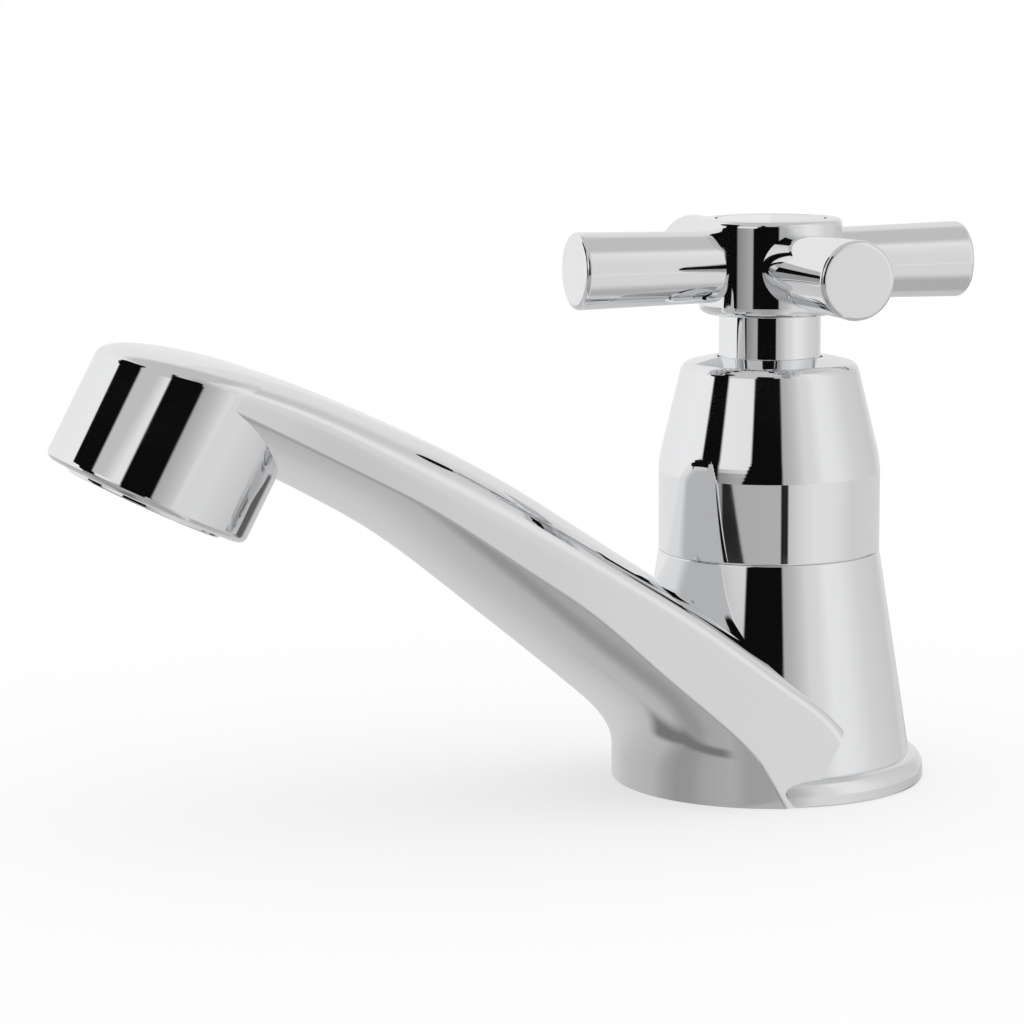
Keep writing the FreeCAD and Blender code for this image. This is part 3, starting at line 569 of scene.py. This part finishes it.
def to_nozzle(bm, sizes, tilt):
    """Tilt a shape drawn upright over the origin and move it into the nozzle's mouth."""
    place = Matrix.Translation(nozzle_point(sizes, 0.0)) @ Matrix.Rotation(-tilt, 4, "X")
    bmesh.ops.transform(bm, matrix=place, verts=bm.verts)


def spout_rows(sizes):
    """Keel and top points (ahead, height), half-width, crown and hull heights of the spout's sections."""
    foot = sizes.foot_radius
    base_half = math.sqrt(foot ** 2 - FOOT_SPREAD ** 2)
    heel_half = math.sqrt(foot ** 2 - HEEL_SPREAD ** 2)
    heel_hull = math.hypot(foot - HEEL_SPREAD, HEEL_CREASE_HEIGHT - FOOT_WALL_HEIGHT)
    keel_end = nozzle_point(sizes, sizes.nozzle_length - NOZZLE_KEEL_DEPTH)
    top_end = nozzle_point(sizes, sizes.nozzle_length - SPOUT_END_INSET)
    end_half = sizes.nozzle_radius - SPOUT_END_INSET
    keel_run, keel_rise = -keel_end.y - foot, keel_end.z - FOOT_WALL_HEIGHT
    top_run, top_rise = -top_end.y + HEEL_TOP_SETBACK, top_end.z - HEEL_TOP_HEIGHT
    rows = [
        (foot, 0.0, -BASE_TOP_SETBACK, 0.0, base_half, BASE_CROWN, foot - FOOT_SPREAD),
        (foot, FOOT_WALL_HEIGHT, -HEEL_TOP_SETBACK, HEEL_TOP_HEIGHT, heel_half, HEEL_CROWN, heel_hull),
    ]
    rows[1:1] = [tuple(a + (b - a) * part for a, b in zip(*rows)) for part in FOOT_WALL_ROWS]
    for ka, kz, ta, tz, width, crown, hull in SPOUT_SECTIONS:
        rows.append((foot + keel_run * ka, FOOT_WALL_HEIGHT + keel_rise * kz,
                     -HEEL_TOP_SETBACK + top_run * ta, HEEL_TOP_HEIGHT + top_rise * tz,
                     heel_half + (end_half - heel_half) * width, crown, hull))
    rows.append((-keel_end.y, keel_end.z, -top_end.y, top_end.z, end_half, NOZZLE_CROWN, NOZZLE_HULL))
    return rows


def crown_curve(steps):
    """Across and height shares of the superellipse over the top, from one side to the other."""
    points = []
    for i in range(steps + 1):
        turn = math.pi * i / steps
        across = math.copysign(abs(math.cos(turn)) ** (2 / CROWN_EXPONENT), math.cos(turn))
        points.append((across, abs(math.sin(turn)) ** (2 / CROWN_EXPONENT)))
    return points


def section_loop(row, crease):
    """Points round one cross-section of the spout: over the top, down the band and under the hull."""
    keel = Vector((0.0, -row[0], row[1]))
    top = Vector((0.0, -row[2], row[3]))
    half, crown, hull = row[4:]
    up = (top - keel).normalized()
    band_top = (top - keel).length - crown
    radius = (half ** 2 + hull ** 2) / (2 * hull)
    reach = min(crease, (band_top - hull) / 2)
    start = math.asin(half / radius) - reach / radius

    def on_hull(turn):
        return Vector((radius * math.sin(turn), radius - radius * math.cos(turn)))

    corner = Vector((half, hull))
    above = Vector((half, hull + reach))
    near = [Vector((half, band_top + (above.y - band_top) * i / BAND_STEPS)) for i in range(1, BAND_STEPS)]
    near.append(above + Vector((0.0, SUPPORT)))
    for i in range(CREASE_STEPS + 1):
        a = i / CREASE_STEPS
        near.append(above * (1 - a) ** 2 + corner * 2 * a * (1 - a) + on_hull(start) * a ** 2)
    near.append(on_hull(start - SUPPORT / radius))
    crowned = [Vector((half * across, band_top + crown * rise)) for across, rise in reversed(crown_curve(CROWN_STEPS))]
    belly = [on_hull(start * (1 - 2 * i / BELLY_STEPS)) for i in range(1, BELLY_STEPS)]
    far = [Vector((-point.x, point.y)) for point in reversed(near)]
    return [keel + up * point.y + Vector((point.x, 0.0, 0.0)) for point in crowned + near + belly + far]


def spout_shell(sizes):
    """The swooping spout, bridged through its cross-sections."""
    bm = bmesh.new()
    loops = []
    for row in smooth_rows(spout_rows(sizes), ROWS_PER_SECTION):
        verts = [bm.verts.new(point) for point in section_loop(row, sizes.crease_round)]
        loops.append([bm.edges.new(pair) for pair in zip(verts, verts[1:] + verts[:1])])
        if len(loops) > 1:
            bmesh.ops.bridge_loops(bm, edges=loops[-2] + loops[-1])
    for edges in (loops[0], loops[-1]):
        bmesh.ops.contextual_create(bm, geom=edges)
    slope = sizes.panel_slope
    cut = cut_off(bm, (0, sizes.panel_setback, sizes.panel_height), (0, math.sin(slope), -math.cos(slope)))
    bmesh.ops.contextual_create(bm, geom=[item for item in cut if isinstance(item, bmesh.types.BMEdge)])
    return hollow(bm, VALVE_ROOM, sizes.column_height - VALVE_ROOM_COVER)


def nozzle_shell(sizes, bore):
    """Tilted round nozzle with a rounded, leaning top and a bored mouth."""
    radius = sizes.nozzle_radius
    wall_top = sizes.nozzle_length - NOZZLE_CROWN
    half_curve = [point for point in reversed(crown_curve(NOZZLE_CROWN_STEPS)) if point[0] >= MERGE]
    outline = [(0.0, sizes.nozzle_length)]
    outline += [(radius * across, wall_top + NOZZLE_CROWN * rise) for across, rise in half_curve]
    outline += [(radius, NOZZLE_RIM * 3), (radius, 0.0, NOZZLE_RIM), (bore, 0.0, BROKEN_EDGE), (bore, OUTLET_DEPTH),
                (0.0, OUTLET_DEPTH)]
    bm = spin_outline(outline, closed=False)
    crown_lean = math.tan(sizes.nozzle_tilt - sizes.nozzle_top_slope)
    mouth_lean = sizes.nozzle_tilt - sizes.mouth_tilt
    bored = bore + BROKEN_EDGE + 2 * SUPPORT
    inside = [vert for vert in bm.verts if vert.co.z < wall_top / 2 and vert.co.xy.length < bored]
    for vert in set(bm.verts) - set(inside):
        crowned = vert.co.z > wall_top / 2
        vert.co.z += vert.co.y * (crown_lean if crowned else math.tan(mouth_lean))
        if crowned and vert.co.y > 0.0:
            vert.co.z -= NOZZLE_CAP_BEND * vert.co.y ** 2
    bmesh.ops.rotate(bm, cent=(0, 0, 0), matrix=Matrix.Rotation(mouth_lean, 3, "X"), verts=inside)
    to_nozzle(bm, sizes, sizes.nozzle_tilt)
    return bm


def column_shell(sizes):
    """Bead round the foot and the tapering column up to the seam."""
    top = sizes.column_height
    return spin_outline([
        (0.0, 0.0),
        (sizes.flange_radius, 0.0, BROKEN_EDGE),
        (sizes.flange_radius, sizes.flange_height, 0.0025),
        (sizes.column_foot_radius, sizes.flange_height),
        (sizes.column_top_radius, top, 0.00025),
        (0.0, top),
    ], closed=False)


class TAP_OT_casting(bpy.types.Operator):
    """Build the foot, column, spout and nozzle as one casting"""

    bl_idname = "tap.casting"
    bl_label = "Casting"

    def execute(self, context):
        sizes = context.scene.tap_casting
        bm = column_shell(sizes)
        join(bm, spout_shell(sizes))
        join(bm, nozzle_shell(sizes, context.scene.tap_plumbing.outlet_bore))
        finish_piece(bm, "tap_casting", "tap", "chrome", "tap_body", crisp=30.0)
        return {"FINISHED"}


class TAP_OT_bonnet(bpy.types.Operator):
    """Build the turned cover over the headwork"""

    bl_idname = "tap.bonnet"
    bl_label = "Bonnet cover"

    def execute(self, context):
        body = context.scene.tap_casting
        sizes = context.scene.tap_bonnet
        handle = context.scene.tap_handle
        bottom = body.column_height
        shoulder = bottom + sizes.wall_height
        top = shoulder + sizes.taper_height
        hole = handle.skirt_radius + sizes.neck_gap
        wall = sizes.wall
        inside = body.column_top_radius - wall
        bm = spin_outline([
            (inside, bottom),
            (body.column_top_radius, bottom, 0.00025),
            (body.column_top_radius, shoulder, sizes.shoulder_round),
            (sizes.top_radius, top, 0.0018),
            (hole, top + sizes.dome_rise, BROKEN_EDGE),
            (hole, top + sizes.dome_rise - wall),
            (sizes.top_radius - wall, top - wall),
            (inside, shoulder, sizes.shoulder_round - wall),
        ])
        finish_piece(bm, "bonnet_shell", "tap", "chrome", "bonnet_cover")
        return {"FINISHED"}


class TAP_OT_hub(bpy.types.Operator):
    """Build the handle's hub with its skirt, and the disc on top"""

    bl_idname = "tap.hub"
    bl_label = "Hub and cap"

    def execute(self, context):
        sizes = context.scene.tap_handle
        bottom = sizes.hub_bottom
        top = bottom + sizes.hub_height
        groove = sizes.cap_radius + sizes.cap_groove
        skirt_bottom = bottom - sizes.skirt_length
        wall = 0.0012
        inner = sizes.skirt_radius - wall
        screw_hole = 0.0046
        cap_bottom = top - 0.0026
        groove_bottom = cap_bottom + 0.001
        bm = spin_outline([
            (inner, skirt_bottom),
            (sizes.skirt_radius, skirt_bottom, 0.0002),
            (sizes.skirt_radius, bottom),
            (sizes.hub_radius, bottom, 0.0015),
            (sizes.hub_radius, top, 0.001),
            (groove, top, 0.0001),
            (groove, cap_bottom),
            (screw_hole, cap_bottom),
            (screw_hole, bottom - wall),
            (inner, bottom - wall),
        ])
        finish_piece(bm, "hub_shell", "handle", "chrome", "handle_hub")
        bm = spin_outline([
            (0.0, cap_bottom),
            (groove, cap_bottom),
            (groove, groove_bottom),
            (sizes.cap_radius, groove_bottom),
            (sizes.cap_radius, top, 0.0004),
            (0.0, top),
        ], closed=False)
        finish_piece(bm, "index_disc", "handle", "chrome", "index_cap")
        return {"FINISHED"}


ARM_PLACES = ("front", "right", "back", "left")
ARM_SEAT = 0.003  # how far an arm's root lies inside the hub
ARM_POINT = 0.0046  # how far its cone-shaped end reaches in


class TAP_OT_arms(bpy.types.Operator):
    """Build the handle's four flared arms"""

    bl_idname = "tap.arms"
    bl_label = "Arms"

    def execute(self, context):
        sizes = context.scene.tap_handle
        height = sizes.hub_bottom + sizes.arm_height
        for i, place in enumerate(ARM_PLACES):
            bm = spin_outline([
                (0.0, sizes.hub_radius - ARM_POINT),
                (sizes.arm_root_radius, sizes.hub_radius - ARM_SEAT),
                (sizes.arm_tip_radius, sizes.arm_reach, 0.0008),
                (0.0, sizes.arm_reach),
            ], closed=False, steps=128)
            lay = Matrix.Rotation(math.pi / 2, 4, "X")
            turn = Matrix.Rotation(FULL_TURN * i / len(ARM_PLACES), 4, "Z")
            bmesh.ops.transform(bm, matrix=Matrix.Translation((0, 0, height)) @ turn @ lay, verts=bm.verts)
            finish_piece(bm, "arm_" + place, "handle", "chrome", "handle_arm_" + place)
        return {"FINISHED"}


class TAP_OT_outlet(bpy.types.Operator):
    """Build the ring that holds the aerator in the nozzle's mouth"""

    bl_idname = "tap.outlet"
    bl_label = "Outlet ring"

    def execute(self, context):
        sizes = context.scene.tap_casting
        bore = context.scene.tap_plumbing.outlet_bore
        outside = bore - FIT
        inside = outside - 0.0016
        mouth, lip = 0.0086, 0.0124
        front, ledge, back = -0.0006, 0.0012, 0.0079
        bm = spin_outline([
            (mouth, front, 0.00015),
            (lip, front, 0.0002),
            (lip, 0.0),
            (outside, 0.0),
            (outside, back, BROKEN_EDGE),
            (inside, back, 0.0002),
            (inside, ledge),
            (mouth, ledge, 0.0002),
        ], steps=120)
        to_nozzle(bm, sizes, sizes.mouth_tilt)
        finish_piece(bm, "outlet_ring", "tap", "chrome", "aerator_housing")
        return {"FINISHED"}


THREAD_POINTS = 8  # from crest to crest
THREAD_STEPS = 48  # round one turn
RING_STEPS = 96  # round the tail's bore and the nut's hole
SAME_HEIGHT = 1e-6
COLLAR = 0.002  # thickness of the nut's collar
NUT_CHAMFER = 0.0016


def thread_shell(sizes, top, bottom):
    """Outside of a threaded rod between two heights, wound from one pitch of the thread's outline."""
    bm = bmesh.new()
    pitch = sizes.thread_pitch
    turns = math.ceil((top - bottom) / pitch) + 2
    verts = []
    for i in range(THREAD_POINTS + 1):
        part = i / THREAD_POINTS
        dip = sizes.thread_depth * (0.5 - 0.5 * math.cos(FULL_TURN * part))
        verts.append(bm.verts.new((sizes.tail_radius - dip, 0.0, bottom + pitch * (part - 2))))
    for pair in zip(verts, verts[1:]):
        bm.edges.new(pair)
    bmesh.ops.spin(bm, geom=bm.verts[:] + bm.edges[:], cent=(0, 0, 0), axis=(0, 0, 1), angle=FULL_TURN * turns,
                   dvec=(0, 0, pitch / THREAD_STEPS), steps=THREAD_STEPS * turns, use_merge=False,
                   use_duplicate=False)
    bmesh.ops.remove_doubles(bm, verts=bm.verts, dist=1e-5)
    cut_off(bm, (0, 0, top), (0, 0, 1))
    cut_off(bm, (0, 0, bottom), (0, 0, -1))
    return bm


def level_ring(bm, radius, steps, height):
    """Edges of a new level ring about the Z axis."""
    verts = bmesh.ops.create_circle(bm, radius=radius, segments=steps,
                                    matrix=Matrix.Translation((0, 0, height)))["verts"]
    ring = set(verts)
    return [edge for edge in bm.edges if ring.issuperset(edge.verts)]


def tail_shell(sizes):
    """The threaded tail with its water way."""
    bm = thread_shell(sizes, sizes.tail_socket, -sizes.tail_length)
    for height in (sizes.tail_socket, -sizes.tail_length):
        rim = [edge for edge in bm.edges if edge.is_boundary
               and all(abs(vert.co.z - height) < SAME_HEIGHT and vert.co.xy.length > sizes.tail_bore + 0.001
                       for vert in edge.verts)]
        bore = level_ring(bm, sizes.tail_bore, RING_STEPS, height)
        bmesh.ops.triangle_fill(bm, use_beauty=True, edges=rim + bore, normal=(0, 0, 1))
    bmesh.ops.bridge_loops(bm, edges=[edge for edge in bm.edges if edge.is_boundary])
    return bm


def nut_shell(low, high, hole):
    """A six-sided nut with chamfered lower corners, under a round collar."""
    collar_bottom = high.z - COLLAR
    bm = spin_outline([
        (hole, collar_bottom),
        (high.y, collar_bottom, 0.0002),
        (high.y, high.z, 0.0004),
        (hole, high.z, BROKEN_EDGE),
    ], steps=RING_STEPS)
    across = bmesh.new()
    corner_radius = high.x - 0.00002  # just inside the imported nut's
    rings = level_ring(across, corner_radius, 6, low.z) + level_ring(across, hole, RING_STEPS, low.z)
    faces = bmesh.ops.triangle_fill(across, use_beauty=True, edges=rings, normal=(0, 0, -1))["geom"]
    raised = bmesh.ops.extrude_face_region(across, geom=faces)["geom"]
    bmesh.ops.translate(across, vec=(0, 0, collar_bottom - low.z),
                        verts=[item for item in raised if isinstance(item, bmesh.types.BMVert)])
    corners = [vert for vert in across.verts
               if vert.co.z < low.z + SAME_HEIGHT and vert.co.xy.length > hole + 0.002]
    bmesh.ops.bevel(across, geom=corners, offset=NUT_CHAMFER, offset_type="OFFSET", segments=2, profile=0.5,
                    affect="VERTICES", material=-1)
    join(bm, across)
    return bm


class TAP_OT_tail(bpy.types.Operator):
    """Build the threaded tail and the collared nut under the deck"""

    bl_idname = "tap.tail"
    bl_label = "Tail and nut"

    def execute(self, context):
        sizes = context.scene.tap_plumbing
        finish_piece(tail_shell(sizes), "tail_threaded", "tap", "brass", "inlet_tail", crisp=50.0)
        low, high = (Vector(corner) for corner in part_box("back_nut"))
        finish_piece(nut_shell(low, high, sizes.tail_radius + FIT), "nut_collared", "tap", "brass", "back_nut")
        return {"FINISHED"}


class TAP_OT_dressing(bpy.types.Operator):
    """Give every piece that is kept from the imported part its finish"""

    bl_idname = "tap.dressing"
    bl_label = "Finishes of the inner pieces"

    def execute(self, context):
        for piece in frame["nodes"].values():
            for place in piece.material_slots:
                place.material = finish_for(place.material.name.split(".")[0])
        return {"FINISHED"}


# ---- studio ----
# The polished metal mirrors a studio that is worked out from directions. They are given in degrees: level goes
# round the tap from the camera, to its right, and rise goes up from the horizon.
DEGREES = 180 / math.pi
HORIZON = (-8.1, -7.1)  # rise at which the table ends and the walls begin
NEAR_TABLE = (-10.4, -9.8)  # rise at which the table's far part begins
# (level, tone) stops round the far and the near part of the table.
FAR_TONES = ((-180, 0.84), (-105, 0.84), (-88, 0.62), (-76, 0.34), (-50, 0.30), (-34, 0.46), (12, 0.48), (30, 0.70),
             (48, 0.83), (75, 0.80), (95, 0.68), (165, 0.70), (180, 0.84))
NEAR_TONES = ((-150, 0.66), (-125, 0.56), (-93, 0.50), (-82, 0.40), (-70, 0.33), (-58, 0.34), (-46, 0.41),
              (-25, 0.45), (-13, 0.38), (2, 0.38), (14, 0.46), (35, 0.74), (60, 0.76), (90, 0.68), (120, 0.60))
STREAK_TONE = 0.02  # of two dark streaks at the far end of the table
POOL_TONE = 0.20  # of the darker pool that lies on the table on the left
SHADE_TONE = 0.12  # of the dark patch on the right, behind the tap
UNDER_TONE = 0.47  # of the table right under the tap and to its right


def window(tree, value, low, high, soft):
    """A mask that is 1 between two values and fades over a soft edge at each."""
    return combine(tree, "MULTIPLY", remap(tree, value, low - soft, low + soft),
                   remap(tree, value, high - soft, high + soft, 1.0, 0.0))


def blend(tree, mask, first, second):
    """The first value where the mask is 0 and the second where it is 1."""
    return add_node(tree, "Mix", {"Factor": mask, "A": first, "B": second}, data_type="FLOAT").outputs["Result"]


def ramp(tree, value, stops):
    """Straight runs between (angle in degrees, tone) stops."""
    place = add_node(tree, "MapRange", {"Value": value, "From Min": -180.0, "From Max": 180.0})
    node = add_node(tree, "ValToRGB", {"Fac": place.outputs["Result"]})
    points = node.color_ramp.elements
    for stop in stops[1:-1]:
        points.new((stop[0] + 180) / 360)
    for point, (turn, tone) in zip(points, stops):
        point.position = (turn + 180) / 360
        point.color = (tone, tone, tone, 1.0)
    return node.outputs["Color"]


def studio_tones(tree, sizes):
    """Brightness of the studio in every direction, as polished metal sees it."""
    times, plus, least, most = (partial(combine, tree, kind) for kind in ("MULTIPLY", "ADD", "MINIMUM", "MAXIMUM"))
    fade, within, over, around = (partial(tool, tree) for tool in (remap, window, blend, ramp))
    to_camera = math.atan2(sizes.camera[1], sizes.camera[0])
    turn = add_node(tree, "Mapping", {"Vector": add_node(tree, "TexCoord", {}).outputs["Generated"],
                                      "Rotation": (0.0, 0.0, -to_camera)})
    axes = add_node(tree, "SeparateXYZ", {"Vector": turn.outputs["Vector"]}).outputs
    level = times(combine(tree, "ARCTAN2", axes["Y"], axes["X"]), DEGREES)
    rise = times(combine(tree, "ARCSINE", axes["Z"], 0.0), DEGREES)

    # Walls: bright at the sides and behind, greyer low down between the flags and towards the ceiling.
    walls = around(level, ((-180, 0.85), (-100, sizes.wall), (-20, 0.85), (14, 0.44), (22, 0.50), (30, 0.60),
                           (38, 0.73), (48, 0.76), (60, 0.88), (75, 0.86), (100, 0.72), (140, 0.64), (165, 0.80)))
    between = times(within(level, -58.0, -16.0, 3.0), fade(rise, 2.0, 10.0, 1.0, 0.0))
    walls = over(between, walls, fade(level, -58.0, -28.0, 0.26, 0.42))
    ceiling = times(fade(rise, 20.0, 25.0), within(level, -61.0, 2.0, 3.0))
    walls = over(most(ceiling, fade(rise, 44.0, 60.0)), walls, sizes.ceiling)

    # Table: its far part with two streaks, its near part, and three darker places on it.
    slant = plus(level, times(plus(rise, 8.6), 10.0))
    wedge = times(fade(level, -51.0, -48.0), fade(slant, -38.0, -35.0, 1.0, 0.0))
    far = over(plus(wedge, within(level, 12.5, 20.0, 1.0)), around(level, FAR_TONES), STREAK_TONE)
    table = over(fade(rise, *NEAR_TABLE), around(level, NEAR_TONES), far)
    arc = plus(plus(rise, 56.0), times(plus(most(level, -75.0), 75.0), -0.36))
    pool = times(within(level, -116.0, -26.0, 8.0), within(arc, -5.0, 5.0, 3.0))
    table = over(pool, table, POOL_TONE)
    shade = times(within(level, 130.0, 156.0, 6.0), within(rise, -34.0, -16.0, 4.0))
    table = over(shade, table, SHADE_TONE)
    under = times(within(level, 44.0, 150.0, 12.0), fade(rise, -56.0, -34.0, 1.0, 0.0))
    table = over(under, table, UNDER_TONE)
    tones = over(fade(rise, *HORIZON), table, walls)

    # Front flag, round the camera: its left edge leans inwards and its top edge slopes down to the right.
    lean = plus(level, times(least(plus(rise, -15.0), 0.0), -0.4))
    lean = plus(lean, times(most(rise, 15.0), -0.1))
    top = plus(rise, times(level, 0.5))
    front = times(fade(lean, -22.5, -19.5), fade(level, 12.5, 15.5, 1.0, 0.0))
    front = times(times(front, fade(top, 35.5, 37.5, 1.0, 0.0)), fade(rise, *HORIZON))

    # Side flag, to the camera's left: from 18 to 32 degrees up its edges lean outwards, the left one more.
    lift = least(most(plus(rise, -18.0), 0.0), 14.0)
    left_edge = plus(level, times(lift, 1.8))
    right_edge = plus(level, times(lift, 0.3))
    side = times(fade(left_edge, -78.0, -75.0), fade(right_edge, -56.0, -52.0, 1.0, 0.0))
    side = times(side, within(rise, -7.6, 49.0, 1.0))
    return over(most(front, side), tones, sizes.flag)


HIDDEN_TOP = 0.009  # pieces that end lower than this belong under the deck


def photo_camera(sizes):
    """The camera at the photograph's viewing angle."""
    camera = bpy.data.cameras.new("studio_camera")
    camera.lens = sizes.lens
    camera.sensor_width = 36.0
    camera.clip_end = 20.0
    camera.clip_start = 0.01
    seat = placed("studio_camera", camera)
    seat.matrix_world = (Matrix.Translation(sizes.camera) @ Matrix.Rotation(sizes.heading, 4, "Z")
                         @ Matrix.Rotation(math.pi / 2 - sizes.dip, 4, "X") @ Matrix.Rotation(sizes.roll, 4, "Z"))
    return seat


def white_floor(sizes):
    """A matt floor that keeps the tap's shadow and that the camera sees as white."""
    bm = bmesh.new()
    bmesh.ops.create_grid(bm, x_segments=4, y_segments=4, size=4.0)
    floor = placed("studio_floor", mesh_of(bm, "studio_floor"))
    material = bpy.data.materials.new("studio_floor")
    shader = node_shader(material)
    paths = add_node(shader.id_data, "LightPath", {}).outputs
    set_sockets(shader, {
        "Roughness": 1.0,
        "Specular IOR Level": 0.0,
        "Base Color": (*sizes.floor, 1.0),
        "Emission Color": (1.0, 1.0, 1.0, 1.0),
        "Emission Strength": combine(shader.id_data, "MULTIPLY", paths["Is Camera Ray"], sizes.floor_fill),
    })
    floor.data.materials.append(material)
    return floor


def surround(sizes):
    """A world that is plain white, and the studio to glossy and transmitted rays."""
    world = bpy.data.worlds.new("studio_surround")
    plain = node_shader(world, "Background")
    set_sockets(plain, {"Color": (1.0, 1.0, 1.0, 1.0)})
    tree = world.node_tree
    seen = add_node(tree, "Background", {"Color": studio_tones(tree, sizes)})
    paths = add_node(tree, "LightPath", {}).outputs
    mirrored = combine(tree, "MAXIMUM", paths["Is Glossy Ray"], paths["Is Transmission Ray"])
    choice = add_node(tree, "MixShader", {0: mirrored, 1: plain.outputs["Background"], 2: seen.outputs["Background"]})
    set_sockets(tree.nodes["World Output"], {"Surface": choice.outputs["Shader"]})
    return world


class TAP_OT_studio(bpy.types.Operator):
    """Build the floor, the surround and the camera"""

    bl_idname = "tap.studio"
    bl_label = "Studio"

    def execute(self, context):
        scene = context.scene
        scene.camera = photo_camera(scene.tap_studio)
        scene.view_settings.view_transform = "Standard"
        scene.world = surround(scene.tap_studio)
        floor = white_floor(scene.tap_studio)
        # The surround has its own table, so the metal mirrors neither the floor nor what lies under the deck.
        floor.visible_glossy = False
        for piece in bpy.data.objects:
            if piece.type == "MESH" and max(corner[2] for corner in piece.bound_box) < HIDDEN_TOP:
                piece.visible_glossy = False
        return {"FINISHED"}


class TAP_PT_panel(bpy.types.Panel):
    """Lists the tap's pieces and settings"""

    bl_label = "Cross handle tap"
    bl_idname = "TAP_PT_panel"
    bl_space_type = "VIEW_3D"
    bl_region_type = "UI"
    bl_category = "Tap"

    def draw(self, context):
        for operator in OPERATORS:
            self.layout.operator(operator.bl_idname)
        for name, group in SETTINGS.items():
            box = self.layout.box()
            box.label(text=name.capitalize())
            settings = getattr(context.scene, "tap_" + name)
            for key in group.__annotations__:
                box.prop(settings, key)


OPERATORS = (TAP_OT_casting, TAP_OT_outlet, TAP_OT_bonnet, TAP_OT_hub, TAP_OT_arms, TAP_OT_tail, TAP_OT_dressing,
             TAP_OT_studio)


def register():
    """Register the settings, operators and panel."""
    for name, group in SETTINGS.items():
        bpy.utils.register_class(group)
        setattr(bpy.types.Scene, "tap_" + name, PointerProperty(type=group))
    for item in (*OPERATORS, TAP_PT_panel):
        bpy.utils.register_class(item)


def unregister():
    """Take the panel, operators and settings away again."""
    for item in (TAP_PT_panel, *reversed(OPERATORS)):
        bpy.utils.unregister_class(item)
    for name, group in SETTINGS.items():
        delattr(bpy.types.Scene, "tap_" + name)
        bpy.utils.unregister_class(group)


def main():
    """Build every piece and the studio."""
    register()
    for operator in OPERATORS:
        group, name = operator.bl_idname.split(".")
        getattr(getattr(bpy.ops, group), name)()


if __name__ == "__main__":
    main()
